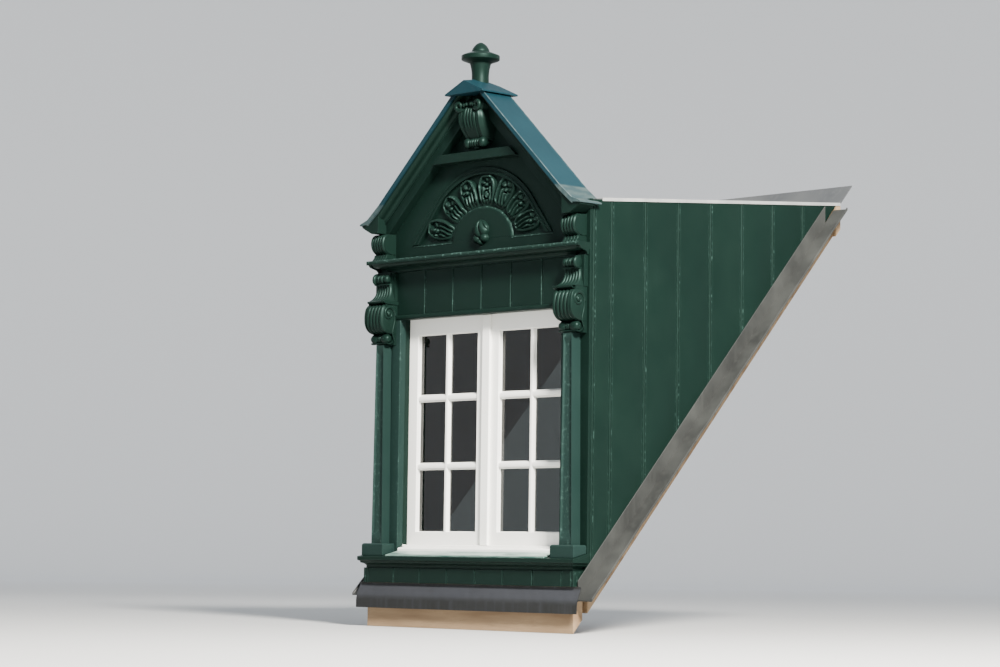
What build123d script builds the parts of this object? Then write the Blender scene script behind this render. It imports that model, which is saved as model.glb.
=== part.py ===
from build123d import *
from math import atan2, cos, degrees, radians, sin, tan
import os

# A timber dormer window with a carved gable front, for a steep tiled roof.
# Millimetres. X runs along the front, Y runs into the roof, Z is up.
# The origin lies on the sloping underside of the front curb, in line with the front boards.

# The roof that carries the dormer, measured square to its slope from the seat of the curb
ROOF_PITCH = 47.2
CURB_DEPTH = 95
FLASHING_LEVEL = 109
CHEEK_FOOT_LEVEL = 117
UPSTAND_TOP_LEVEL = 180

# Walls
HALF_WIDTH = 806
BOARD = 18
CORNER_BOARD = 30
CORNER_BOARD_WIDTH = 131
CORNER_BOARD_INNER = HALF_WIDTH - CORNER_BOARD_WIDTH
CHEEK_BOARD = 22
STUD_WIDTH = 60
STUD_DEPTH = 70
LINING = 12
STUD_COUNT = 3
SIDE_MARGIN = 6
HEADER_THICKNESS = 70

# Heights of the front, each set from the one under it
LIGHT_BOTTOM = 366
LIGHT_HEIGHT = 1217
LIGHT_TOP = LIGHT_BOTTOM + LIGHT_HEIGHT
SHAFT_DROP = 138
SHAFT_TOP = LIGHT_TOP - SHAFT_DROP
FRIEZE_HEIGHT = 258
BED_BOTTOM = LIGHT_TOP + FRIEZE_HEIGHT
BED_HEIGHT = 42
CORNICE_FILLET = 21
CORNICE_TOP = BED_BOTTOM + BED_HEIGHT + CORNICE_FILLET
BLOCK_HEIGHT = 146
BLOCK_TOP = CORNICE_TOP + BLOCK_HEIGHT

# Flat roof behind the gable, which falls to the front
FLAT_RISE = 73
FLAT_FRONT_HEIGHT = BLOCK_TOP + FLAT_RISE
FLAT_FALL = 4.74
FLAT_FRONT = 42
DECK = 20
JOIST_DEPTH = 90
JOIST_WIDTH = 60
JOIST_COUNT = 4
COVERING = 5
COVERING_TAIL = 150
TRIM = 4
TRIM_DROP = 8
TRIM_LAP = 34
HEADER_SETBACK = 36.7

# Foot of the front: curb, boarded apron and lead apron
APRON_FACE = 83
APRON_INSET = 10
APRON_HALF_WIDTH = HALF_WIDTH - APRON_INSET
APRON_BOTTOM = 165
APRON_TOP = 243
LEAD = 4
LEAD_REACH = 27
LEAD_HALF_WIDTH = HALF_WIDTH + LEAD_REACH
LEAD_BEND_FACE = 98
LEAD_BEND_HEIGHT = 86
LEAD_TOE_HEIGHT = 27
LEAD_FLANGE = 14
SIDE_FLASHING_WIDTH = 100
SIDE_FLASHING_WELT = 10
SIDE_FLASHING_TAIL = 60

# Moulded sill
SILL_NOSE_FACE = 112
SILL_NOSE_REACH = 13
SILL_NOSE_HALF_WIDTH = HALF_WIDTH + SILL_NOSE_REACH
SILL_NOSE_TOP = 303
SILL_NOSE_HEIGHT = 20
SILL_DRIP_HEIGHT = 6
SILL_FILLET_STEP = 12
SILL_FILLET_HEIGHT = 8
SILL_COVE_HEIGHT = 14
SILL_BED_STEP = 36
SILL_RISE = 35
SILL_BOARD = 8
SILL_BOARD_INSET = 206
SILL_BOARD_HALF_WIDTH = HALF_WIDTH - SILL_BOARD_INSET
SILL_BOARD_SETBACK = 8

# Pilasters
BASE_FACE = 95
BASE_INSET = 4
BASE_WIDTH = 168
BASE_OUTER = HALF_WIDTH - BASE_INSET
BASE_INNER = BASE_OUTER - BASE_WIDTH
BASE_TOP = 374
BASE_CHAMFER = 7
SHAFT_FACE = 65
SHAFT_INSET = 49
SHAFT_FOOT_WIDTH = 82
SHAFT_FOOT_OUTER = HALF_WIDTH - SHAFT_INSET
SHAFT_FOOT_INNER = SHAFT_FOOT_OUTER - SHAFT_FOOT_WIDTH
SHAFT_TAPER = 14
SHAFT_HEAD_WIDTH = 57
SHAFT_HEAD_OUTER = SHAFT_FOOT_OUTER - SHAFT_TAPER
SHAFT_HEAD_INNER = SHAFT_HEAD_OUTER - SHAFT_HEAD_WIDTH
SHAFT_EDGE_RADIUS = 5

# Scroll consoles above the shafts
CONSOLE_INSET = 12
CONSOLE_WIDTH = 141
CONSOLE_OUTER = HALF_WIDTH - CONSOLE_INSET
CONSOLE_INNER = CONSOLE_OUTER - CONSOLE_WIDTH
CONSOLE_BACK = 24
NECK_MARGIN = 17
FOOT_ROLL_RADIUS = 27
FOOT_ROLL_FACE = 72
FOOT_ROLL_BITE = 4
VOLUTE_FACE = 115
VOLUTE_HEIGHT = 158
VOLUTE_SHOULDER = 50
SHELF_FACE = 98
SHELF_HEIGHT = 27
SHELF_EDGE_LOW = 8
SHELF_EDGE_HIGH = 6
SHELF_OVERHANG = 6
NECK_FACE = 38
NECK_SWEEP = 14
NECK_HEIGHT = 80
TOP_ROLL_RADIUS = 29
TOP_ROLL_FACE = 88
TOP_ROLL_GAP = 4

# Window
FRAME_FACE = 30
FRAME_DEPTH = 88
FRAME_BOTTOM = LIGHT_BOTTOM - 28
FRAME_HEAD = 58
JAMB = 63
JAMB_LAP = 12
LIGHT_HALF_WIDTH = CORNER_BOARD_INNER - JAMB
REBATE = 10
SASH_FACE = 65
SASH_THICKNESS = 43
SASH_CLEARANCE = 2
STILE = 73
MEETING_STILE = 81
TOP_RAIL = 94
BOTTOM_RAIL = 70
GLASS = 4
GLASS_SETBACK = 24
GLASS_REBATE = 8
COVER_STRIP_HALF_WIDTH = 28
COVER_STRIP = 18
WINDOW_BOARD = 22
WINDOW_BOARD_DEPTH = 90

# Frieze and cornice
FRIEZE_MOULD_HEIGHT = 24
FRIEZE_MOULD_FACE = 14
BED_FOOT_FACE = 14
BED_HEAD_FACE = 76
CORNICE_FACE = 91
CORNICE_INSET = 12
CORNICE_HALF_WIDTH = HALF_WIDTH - CORNICE_INSET

# End blocks on the cornice
BLOCK_INSET = 26
BLOCK_WIDTH = 108
BLOCK_OUTER = HALF_WIDTH - BLOCK_INSET
BLOCK_INNER = BLOCK_OUTER - BLOCK_WIDTH
BLOCK_FACE = 92
BLOCK_FOOT_FACE = 78
BLOCK_WAIST_FACE = 56
BLOCK_FOOT_HEIGHT = 36
BLOCK_SHOULDER = 44

# Gable
GABLE_PITCH = 43.5
GABLE_FRONT = 115
GABLE_BACK = 85
GABLE_SHEET = 22
FLARE_INSET = 116
FLARE_START = HALF_WIDTH - FLARE_INSET
FLARE_KNEE_INSET = 25
FLARE_KNEE = HALF_WIDTH - FLARE_KNEE_INSET
FLARE_KNEE_DROP = 73
FLARE_REACH = 34
FLARE_TIP = HALF_WIDTH + FLARE_REACH
FLARE_TIP_DROP = 21
FLARE_TAIL_BACK = 46
EAVE_RISE = 149.2
GABLE_APEX = BLOCK_TOP + EAVE_RISE + FLARE_START * tan(radians(GABLE_PITCH))
CAP_SEAT_DROP = 118
GABLE_TOP = GABLE_APEX - CAP_SEAT_DROP
EAVE_INSET = 106
EAVE_INNER = HALF_WIDTH - EAVE_INSET
EAVE_FILLET = 9
EAVE_TIP = 8
EAVE_KNEE = 6
RAKE_CROWN_FACE = 105
RAKE_CROWN_DEPTH = 36
RAKE_BOARD_FACE = 45
RAKE_LIP = 10
RAKE_DEPTH = 116
RAKE_FILLET = 8
PANEL_FACE = 6
PANEL = 34
FIELD_DEPTH = 12
BACK_PANEL_FACE = 52
BACK_PANEL = 18
COLLAR_FACE = 64
COLLAR_DROP = 462
COLLAR_HEIGHT = 48
COLLAR_BOTTOM = GABLE_APEX - COLLAR_DROP
COLLAR_TOP = COLLAR_BOTTOM + COLLAR_HEIGHT

# Carving in the gable
ARCH_RISE = 76
ARCH_BASE = CORNICE_TOP + ARCH_RISE
ARCH_INSET = 275
ARCH_HALF_WIDTH = HALF_WIDTH - ARCH_INSET
ARCH_LEG_PITCH = 53
ARCH_RADIUS = 490
ARCH_WIDTH = 38
ARCH_RELIEF = 8
ARCH_GROOVE = 5
DISC_HALF_WIDTH = 231
DISC_HEIGHT = 173
GROUND_RELIEF = 3
LEAF_COUNT = 7
LEAF_SPREAD = 25.5
LEAF_RING_WIDTH = 318
LEAF_RING_HEIGHT = 256
LEAF_LENGTH = 84
LEAF_WIDTH = 62
LEAF_RELIEF = 24
LEAF_TAPER = 24
LEAF_HOLLOW = 9
LEAF_HOLLOW_SHARE = 0.56
LEAF_EYE_RADIUS = 13
LEAF_EYE_OFFSET = 22
ROSETTE_RISE = 52
ROSETTE_HEIGHT = ARCH_BASE + ROSETTE_RISE
ROSETTE_HALF_WIDTH = 41
ROSETTE_HALF_HEIGHT = 48
ROSETTE_RELIEF = 34
ROSETTE_LOBE_RADIUS = 22
ROSETTE_LOBE_OFFSET = 19
ROSETTE_LOBE_DROP = 40

# Hanging scroll under the apex
APEX_SCROLL_DROP = 179
APEX_SCROLL_HEIGHT = GABLE_APEX - APEX_SCROLL_DROP
APEX_SCROLL_RADIUS = 33
APEX_SCROLL_OFFSET = 70
APEX_SCROLL_FACE = 108
APEX_BODY_FACE = 110
APEX_BODY_HALF_WIDTH = 84
APEX_ROLL_DROP = 376
APEX_ROLL_HEIGHT = GABLE_APEX - APEX_ROLL_DROP
APEX_ROLL_RADIUS = 24
APEX_ROLL_SETBACK = 48
APEX_ROLL_HALF_WIDTH = 84

# Cap and finial
CAP_HALF_WIDTH = 144
CAP_FRONT = 142
CAP_BACK = 120
CAP_EDGE = 8
CAP_RISE = 71
CAP_SWELL = 20
FINIAL_SETBACK = -20
FINIAL_FOOT_RADIUS = 48
FINIAL_NECK_RADIUS = 46
FINIAL_COLLAR_RADIUS = 56
FINIAL_DISC_RADIUS = 102
FINIAL_DOME_RADIUS = 49
FINIAL_SOCKET = 40
FINIAL_FOOT_RISE = 60
FINIAL_NECK_RISE = 42
FINIAL_COLLAR_RISE = 74
FINIAL_FLARE_RISE = 14
FINIAL_RIM_RISE = 26
FINIAL_DOME_SEAT_RISE = 12
FINIAL_DOME_RISE = 58
FINIAL_FOOT = GABLE_TOP + FINIAL_FOOT_RISE
FINIAL_NECK = FINIAL_FOOT + FINIAL_NECK_RISE
FINIAL_COLLAR = FINIAL_NECK + FINIAL_COLLAR_RISE
FINIAL_RIM_LOW = FINIAL_COLLAR + FINIAL_FLARE_RISE
FINIAL_RIM_HIGH = FINIAL_RIM_LOW + FINIAL_RIM_RISE
FINIAL_DOME = FINIAL_RIM_HIGH + FINIAL_DOME_SEAT_RISE
FINIAL_TOP = FINIAL_DOME + FINIAL_DOME_RISE

BIG = 4000


def on_roof(y, level):
    """Height at y of the plane that lies level above the curb's seat, square to the slope."""
    return y * tan(radians(ROOF_PITCH)) + level / cos(radians(ROOF_PITCH))


def on_flat(y, rise=0.0):
    """Height at y of the flat roof's deck, or of a plane rise above it."""
    return FLAT_FRONT_HEIGHT + y * tan(radians(FLAT_FALL)) + rise


def meeting(level, rise=0.0):
    """Y at which the plane rise above the deck meets the plane level above the seat."""
    return (FLAT_FRONT_HEIGHT + rise - on_roof(0, level)) / (
        tan(radians(ROOF_PITCH)) - tan(radians(FLAT_FALL))
    )


def frame_back():
    """Y of the side frames' end, where the rear header stands."""
    return meeting(CHEEK_FOOT_LEVEL) - HEADER_SETBACK


def roof_back():
    """Y of the deck's rear edge."""
    return frame_back() + HEADER_THICKNESS


def cheek_end():
    """Y at which the cheek's boards run out between the two roofs."""
    return meeting(CHEEK_FOOT_LEVEL) - SIDE_MARGIN


def on_sill(y):
    """Height at y of the sill's weathered top."""
    return SILL_NOSE_TOP + SILL_RISE * (y + SILL_NOSE_FACE) / (FRAME_FACE + SILL_NOSE_FACE)


def on_gable(x, depth=0.0):
    """Height at x of the straight gable slope, or of a plane depth under it, square to it."""
    return GABLE_APEX - abs(x) * tan(radians(GABLE_PITCH)) - depth / cos(radians(GABLE_PITCH))


def outline(start, *moves):
    """Closed face from a start point and moves: a point ends a line, a pair of points an arc."""
    edges = []
    here = start
    for move in moves:
        if isinstance(move[0], tuple):
            edges.append(ThreePointArc(here, move[0], move[1]))
            here = move[1]
        else:
            edges.append(Line(here, move))
            here = move
    if here != start:
        edges.append(Line(here, start))
    return make_face(Curve() + edges)


def along_x(face, low, high):
    """Solid of a (y, z) face carried along X."""
    return Pos(low, 0, 0) * extrude(Plane.YZ * face, amount=high - low)


def along_y(face, low, high):
    """Solid of an (x, z) face carried along Y."""
    return Pos(0, high, 0) * extrude(Plane.XZ * face, amount=high - low)


def block(x_low, x_high, y_low, y_high, z_low, z_high):
    """Upright block between two corners."""
    size = (x_high - x_low, y_high - y_low, z_high - z_low)
    middle = ((x_high + x_low) / 2, (y_high + y_low) / 2, (z_high + z_low) / 2)
    return Pos(*middle) * Box(*size)


def polygon(*points):
    """Closed face through the points."""
    return make_face(Polyline(*points, close=True))


def returned(face_of, half_width, face, back):
    """Moulding along the front that returns along both sides.

    face_of gives the moulding's face from a function that places a projection; the piece is
    what the front run and the two side runs have in common.
    """
    front = along_x(face_of(lambda d: -d, back), -BIG, BIG)
    core = half_width - face
    right = along_y(face_of(lambda d: core + d, -BIG), -BIG, BIG)
    return front & right & mirror(right, about=Plane.YZ)


def save(name, solid):
    """Write one piece."""
    export_step(solid, f"parts/{name}.step")


def save_pair(name, right):
    """Write a right-hand piece and its mirror image on the left."""
    save(f"{name}_right", right)
    save(f"{name}_left", mirror(right, about=Plane.YZ))


# Structure


def curb_front():
    """Front curb, cut underneath to the roof's slope."""
    back_face = -APRON_FACE + BOARD
    face = polygon(
        (back_face, on_roof(back_face, 0)),
        (0, on_roof(0, 0)),
        (0, APRON_TOP),
        (back_face, APRON_TOP),
    )
    heel = polygon(
        (0, on_roof(0, 0)),
        (FRAME_FACE, on_roof(FRAME_FACE, 0)),
        (FRAME_FACE, APRON_TOP),
        (0, APRON_TOP),
    )
    inner = APRON_HALF_WIDTH - BOARD
    return along_x(face, -inner, inner) + along_x(heel, -CORNER_BOARD_INNER, CORNER_BOARD_INNER)


def sill_beam():
    """Timber under the window, on the roof's slope."""
    back = FRAME_FACE + STUD_DEPTH
    face = polygon(
        (FRAME_FACE, on_roof(FRAME_FACE, 0)),
        (back, on_roof(back, 0)),
        (back, FRAME_BOTTOM),
        (FRAME_FACE, FRAME_BOTTOM),
    )
    half = CORNER_BOARD_INNER + JAMB_LAP
    return along_x(face, -half, half)


def cheek_frame():
    """Right wall's timber frame: corner post, sloping sole, head rail and studs."""
    inner = HALF_WIDTH - CHEEK_BOARD - STUD_WIDTH
    outer = HALF_WIDTH - CHEEK_BOARD
    top = -DECK - JOIST_DEPTH
    post_back = FRAME_FACE + STUD_DEPTH
    back = frame_back()
    wall = polygon(
        (CORNER_BOARD, on_roof(CORNER_BOARD, 0)),
        (back, on_roof(back, 0)),
        (back, on_flat(back, top)),
        (CORNER_BOARD, on_flat(CORNER_BOARD, top)),
    )
    frame = along_x(wall, inner, outer)
    rail_low = top - STUD_DEPTH
    slope_end = meeting(CURB_DEPTH, rail_low)
    bay = (slope_end - post_back) / STUD_COUNT
    for number in range(STUD_COUNT):
        low = post_back + number * bay
        high = min(low + bay - STUD_DEPTH, slope_end - 1)
        hole = polygon(
            (low, on_roof(low, CURB_DEPTH)),
            (high, on_roof(high, CURB_DEPTH)),
            (high, on_flat(high, rail_low)),
            (low, on_flat(low, rail_low)),
        )
        frame -= along_x(hole, inner - 1, outer + 1)
    post = polygon(
        (CORNER_BOARD, on_roof(CORNER_BOARD, 0)),
        (post_back, on_roof(post_back, 0)),
        (post_back, on_flat(post_back, top)),
        (CORNER_BOARD, on_flat(CORNER_BOARD, top)),
    )
    return frame + along_x(post, CORNER_BOARD_INNER + JAMB_LAP, outer)


def header():
    """Rear timber that carries the deck where it meets the roof."""
    front = frame_back()
    back = roof_back()
    face = polygon(
        (front, on_roof(front, 0)),
        (back, on_roof(back, 0)),
        (back, on_flat(back, -DECK)),
        (front, on_flat(front, -DECK)),
    )
    half = HALF_WIDTH - CHEEK_BOARD
    end = cheek_end()
    ear = polygon(
        (end, on_roof(end, 0)),
        (back, on_roof(back, 0)),
        (back, on_flat(back)),
        (end, on_flat(end)),
    )
    timber = along_x(face, -half, half)
    return timber + along_x(ear, half, HALF_WIDTH) + along_x(ear, -HALF_WIDTH, -half)


def head_frame():
    """Framed head over the window, behind the frieze."""
    low = LIGHT_TOP + FRAME_HEAD
    high = min(BED_BOTTOM + BED_HEIGHT, on_flat(BOARD, -DECK - JOIST_DEPTH) - 1)
    back = FRAME_FACE + STUD_DEPTH
    half = CORNER_BOARD_INNER
    frame = block(-half, half, BOARD, back, low, high)
    for side in (-1, 1):
        middle = side * half / 2
        reach = half / 2 - STUD_DEPTH
        frame -= block(middle - reach, middle + reach, 0, back + 1, low + STUD_DEPTH, high - STUD_DEPTH)
    top = polygon(
        (PANEL_FACE + PANEL, high),
        (back, high),
        (back, on_flat(back, -DECK - JOIST_DEPTH)),
        (PANEL_FACE + PANEL, on_flat(PANEL_FACE + PANEL, -DECK - JOIST_DEPTH)),
    )
    return frame + along_x(top, -half, half)


def roof_deck():
    """Boarded deck with the joists that carry it."""
    half = HALF_WIDTH - CHEEK_BOARD
    back = roof_back()
    boards = polygon(
        (FLAT_FRONT, on_flat(FLAT_FRONT, -DECK)),
        (back, on_flat(back, -DECK)),
        (back, on_flat(back)),
        (FLAT_FRONT, on_flat(FLAT_FRONT)),
    )
    deck = along_x(boards, -half, half)
    spacing = (frame_back() - FLAT_FRONT - JOIST_WIDTH) / JOIST_COUNT
    for number in range(JOIST_COUNT):
        low = FLAT_FRONT + number * spacing
        high = low + JOIST_WIDTH
        joist = polygon(
            (low, on_flat(low, -DECK - JOIST_DEPTH)),
            (high, on_flat(high, -DECK - JOIST_DEPTH)),
            (high, on_flat(high, -DECK)),
            (low, on_flat(low, -DECK)),
        )
        deck += along_x(joist, -half, half)
    return deck


def roof_covering():
    """Metal covering of the flat roof, turned up under the tiles behind."""
    back = roof_back()
    run = COVERING_TAIL * cos(radians(ROOF_PITCH))
    rise = COVERING_TAIL * sin(radians(ROOF_PITCH))
    drop = COVERING / cos(radians(ROOF_PITCH))
    knee = (back, on_flat(back, COVERING))
    face = polygon(
        (FLAT_FRONT, on_flat(FLAT_FRONT)),
        (back, on_flat(back)),
        (back + run, on_flat(back) + rise),
        (back + run, on_flat(back) + rise + drop),
        (knee[0] - 2, on_flat(back - 2, COVERING)),
        (FLAT_FRONT, on_flat(FLAT_FRONT, COVERING)),
    )
    return along_x(face, -HALF_WIDTH, HALF_WIDTH)


def roof_trim():
    """Right edge trim of the flat roof."""
    back = roof_back() - TRIM
    front = GABLE_BACK
    leg = polygon(
        (front, on_flat(front, -TRIM_DROP)),
        (back, on_flat(back, -TRIM_DROP)),
        (back, on_flat(back, COVERING + TRIM)),
        (front, on_flat(front, COVERING + TRIM)),
    )
    lap = polygon(
        (front, on_flat(front, COVERING)),
        (back, on_flat(back, COVERING)),
        (back, on_flat(back, COVERING + TRIM)),
        (front, on_flat(front, COVERING + TRIM)),
    )
    outside = along_x(leg, HALF_WIDTH, HALF_WIDTH + TRIM)
    return outside + along_x(lap, HALF_WIDTH + TRIM - TRIM_LAP, HALF_WIDTH + TRIM)


# Walls and linings


def cheek_boards():
    """Right cheek's outer boarding, cut to the roof's slope."""
    end = cheek_end()
    face = polygon(
        (BOARD, on_roof(BOARD, CHEEK_FOOT_LEVEL)),
        (end, on_roof(end, CHEEK_FOOT_LEVEL)),
        (end, on_flat(end)),
        (BOARD, on_flat(BOARD)),
    )
    return along_x(face, HALF_WIDTH - CHEEK_BOARD, HALF_WIDTH)


def cheek_lining():
    """Right wall's inner lining."""
    front = FRAME_FACE + STUD_DEPTH
    top = -DECK - JOIST_DEPTH - LINING
    back = min(meeting(LINING, top) - LINING, frame_back())
    face = polygon(
        (front, on_roof(front, LINING)),
        (back, on_roof(back, LINING)),
        (back, on_flat(back, top)),
        (front, on_flat(front, top)),
    )
    outer = HALF_WIDTH - CHEEK_BOARD - STUD_WIDTH
    return along_x(face, outer - LINING, outer)


def ceiling_lining():
    """Ceiling under the joists."""
    front = FRAME_FACE + STUD_DEPTH + LINING
    top = -DECK - JOIST_DEPTH
    back = min(meeting(0, top - LINING), frame_back())
    half = HALF_WIDTH - CHEEK_BOARD - STUD_WIDTH
    face = polygon(
        (front, on_flat(front, top - LINING)),
        (back, on_flat(back, top - LINING)),
        (back, on_flat(back, top)),
        (front, on_flat(front, top)),
    )
    return along_x(face, -half, half)


def head_lining():
    """Inner lining over the window."""
    front = FRAME_FACE + STUD_DEPTH
    half = HALF_WIDTH - CHEEK_BOARD - STUD_WIDTH - LINING
    top = on_flat(front, -DECK - JOIST_DEPTH)
    return block(-half, half, front, front + LINING, LIGHT_TOP + FRAME_HEAD, top)


def corner_board():
    """Right corner board behind the pilaster, rebated over the cheek's boards.

    Its outer part goes on up behind the eave to the underside of the gable's roof.
    """
    foot = on_roof(0, CHEEK_FOOT_LEVEL)
    heel = on_roof(CORNER_BOARD, CHEEK_FOOT_LEVEL)
    face = polygon((0, foot), (CORNER_BOARD, heel), (CORNER_BOARD, BLOCK_TOP), (0, BLOCK_TOP))
    head = polygon(
        (0, BLOCK_TOP),
        (CORNER_BOARD, BLOCK_TOP),
        (CORNER_BOARD, on_flat(CORNER_BOARD, COVERING)),
        (0, on_flat(0, COVERING)),
    )
    board = along_x(face, CORNER_BOARD_INNER, HALF_WIDTH) + along_x(head, EAVE_INNER, HALF_WIDTH)
    return board - block(HALF_WIDTH - CHEEK_BOARD, HALF_WIDTH + 1, BOARD, CORNER_BOARD + 1, 0, BIG)


def apron_boards():
    """Boarded apron under the sill, with its two returned ends."""
    half = APRON_HALF_WIDTH
    front = block(-half, half, -APRON_FACE, -APRON_FACE + BOARD, APRON_BOTTOM, APRON_TOP)
    right = block(half - BOARD, half, -APRON_FACE, 0, APRON_BOTTOM, APRON_TOP)
    return front + right + mirror(right, about=Plane.YZ)


# Lead work


def apron_flashing():
    """Lead apron: a flange on the curb, a slope and an upright face down to the tiles."""
    flange_face = -APRON_FACE + BOARD
    outer = [
        (flange_face - LEAD, APRON_BOTTOM - 1),
        (flange_face - LEAD, APRON_BOTTOM - LEAD_FLANGE),
        (-LEAD_BEND_FACE, LEAD_BEND_HEIGHT),
        (-LEAD_BEND_FACE, LEAD_TOE_HEIGHT),
    ]
    inner = [
        (-LEAD_BEND_FACE + LEAD, LEAD_TOE_HEIGHT),
        (-LEAD_BEND_FACE + LEAD, LEAD_BEND_HEIGHT - 1),
        (flange_face, APRON_BOTTOM - LEAD_FLANGE - 1),
        (flange_face, APRON_BOTTOM - 1),
    ]
    return along_x(polygon(*outer, *inner), -LEAD_HALF_WIDTH, LEAD_HALF_WIDTH)


def side_flashing():
    """Right side flashing: an upstand on the cheek and a flat on the tiles with a turned edge."""
    level = FLASHING_LEVEL
    front = -APRON_FACE + BOARD
    end = meeting(UPSTAND_TOP_LEVEL, -TRIM_DROP) - 2
    back = roof_back() - SIDE_FLASHING_TAIL

    def strip(low_level, high_level, x_low, x_high, y_high):
        face = polygon(
            (front, on_roof(front, low_level)),
            (y_high, on_roof(y_high, low_level)),
            (y_high, on_roof(y_high, high_level)),
            (front, on_roof(front, high_level)),
        )
        return along_x(face, x_low, x_high)

    inside = HALF_WIDTH
    outside = HALF_WIDTH + SIDE_FLASHING_WIDTH
    flat = strip(level, level + LEAD, inside, outside, back)
    upstand = strip(level, UPSTAND_TOP_LEVEL, inside, inside + LEAD, end)
    welt = strip(level, level + SIDE_FLASHING_WELT, outside - LEAD, outside, back)
    return flat + upstand + welt


# Sill and window


def sill():
    """Moulded sill with returned ends and a weathered top."""
    nose_low = SILL_NOSE_TOP - SILL_NOSE_HEIGHT
    fillet_face = SILL_NOSE_FACE - SILL_FILLET_STEP
    fillet_high = nose_low - SILL_DRIP_HEIGHT
    fillet_low = fillet_high - SILL_FILLET_HEIGHT
    cove_low = fillet_low - SILL_COVE_HEIGHT
    bed_face = SILL_NOSE_FACE - SILL_BED_STEP
    cove_face = bed_face + 0.3 * (fillet_face - bed_face)
    cove_middle = fillet_low - 0.43 * SILL_COVE_HEIGHT

    def face_of(place, back):
        top = on_sill(back) if back > 0 else BIG
        nose_top = SILL_NOSE_TOP if back > 0 else BIG
        return outline(
            (back, APRON_TOP),
            (place(bed_face), APRON_TOP),
            (place(bed_face), cove_low),
            ((place(cove_face), cove_middle), (place(fillet_face), fillet_low)),
            (place(fillet_face), fillet_high),
            (place(SILL_NOSE_FACE), nose_low),
            (place(SILL_NOSE_FACE), nose_top),
            (back, top),
        )

    piece = returned(face_of, SILL_NOSE_HALF_WIDTH, SILL_NOSE_FACE, FRAME_FACE)
    corner = block(CORNER_BOARD_INNER, BIG, 0, BIG, 0, BIG)
    return piece - corner - mirror(corner, about=Plane.YZ)


def sill_board():
    """Painted board on the sill under the window."""
    front = -SILL_NOSE_FACE + SILL_BOARD_SETBACK
    face = polygon(
        (front, on_sill(front)),
        (FRAME_FACE, on_sill(FRAME_FACE)),
        (FRAME_FACE, on_sill(FRAME_FACE) + SILL_BOARD),
        (front, on_sill(front) + SILL_BOARD),
    )
    return along_x(face, -SILL_BOARD_HALF_WIDTH, SILL_BOARD_HALF_WIDTH)


def window_frame():
    """Fixed frame with an outer stop and a rebate for the sashes."""
    top = LIGHT_TOP + FRAME_HEAD
    back = FRAME_FACE + FRAME_DEPTH
    half = CORNER_BOARD_INNER + JAMB_LAP
    ring = block(-half, half, FRAME_FACE, back, FRAME_BOTTOM, top)
    ring -= block(-LIGHT_HALF_WIDTH, LIGHT_HALF_WIDTH, 0, back + 1, LIGHT_BOTTOM, LIGHT_TOP)
    wide = LIGHT_HALF_WIDTH + REBATE
    return ring - block(-wide, wide, SASH_FACE, back + 1, LIGHT_BOTTOM, LIGHT_TOP + REBATE)


def sash():
    """Right sash without its bars."""
    outer = LIGHT_HALF_WIDTH + REBATE - SASH_CLEARANCE
    inner = SASH_CLEARANCE / 2
    low = LIGHT_BOTTOM + SASH_CLEARANCE
    high = LIGHT_TOP + REBATE - SASH_CLEARANCE
    back = SASH_FACE + SASH_THICKNESS
    leaf = block(inner, outer, SASH_FACE, back, low, high)
    left, right = inner + MEETING_STILE, outer - STILE
    floor, roof = low + BOTTOM_RAIL, high - TOP_RAIL
    leaf -= block(left, right, 0, BIG, floor, roof)
    glass_face = SASH_FACE + GLASS_SETBACK
    return leaf - block(
        left - GLASS_REBATE, right + GLASS_REBATE, glass_face, BIG, floor - GLASS_REBATE, roof + GLASS_REBATE
    )


def cover_strip():
    """Strip that covers the joint of the two sashes."""
    half = COVER_STRIP_HALF_WIDTH
    low = LIGHT_BOTTOM + SASH_CLEARANCE
    return block(-half, half, SASH_FACE - COVER_STRIP, SASH_FACE, low, LIGHT_TOP - SASH_CLEARANCE)


def glass():
    """Pane of the right sash."""
    outer = LIGHT_HALF_WIDTH + REBATE - SASH_CLEARANCE - STILE + GLASS_REBATE
    inner = SASH_CLEARANCE / 2 + MEETING_STILE - GLASS_REBATE
    low = LIGHT_BOTTOM + SASH_CLEARANCE + BOTTOM_RAIL - GLASS_REBATE
    high = LIGHT_TOP + REBATE - SASH_CLEARANCE - TOP_RAIL + GLASS_REBATE
    face = SASH_FACE + GLASS_SETBACK
    return block(inner, outer, face, face + GLASS, low, high)


def window_board():
    """Inner window board with a rounded nose."""
    front = FRAME_FACE + STUD_DEPTH
    half = HALF_WIDTH - CHEEK_BOARD - STUD_WIDTH - LINING
    nose = front + WINDOW_BOARD_DEPTH
    low = FRAME_BOTTOM - WINDOW_BOARD
    middle = FRAME_BOTTOM - WINDOW_BOARD / 2
    face = outline(
        (front, low),
        (nose - WINDOW_BOARD / 2, low),
        ((nose, middle), (nose - WINDOW_BOARD / 2, FRAME_BOTTOM)),
        (front, FRAME_BOTTOM),
    )
    return along_x(face, -half, half)


# Front dressings


def base_block():
    """Right pilaster's base, chamfered round its top."""
    face = polygon(
        (-BASE_FACE, on_sill(-BASE_FACE)),
        (0, on_sill(0)),
        (0, BASE_TOP),
        (-BASE_FACE, BASE_TOP),
    )
    piece = along_x(face, BASE_INNER, BASE_OUTER)
    rim = piece.edges().filter_by_position(Axis.Z, BASE_TOP - 0.1, BASE_TOP + 0.1)
    rim = [edge for edge in rim if edge.center().Y < -0.1]
    return chamfer(rim, BASE_CHAMFER)


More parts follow.
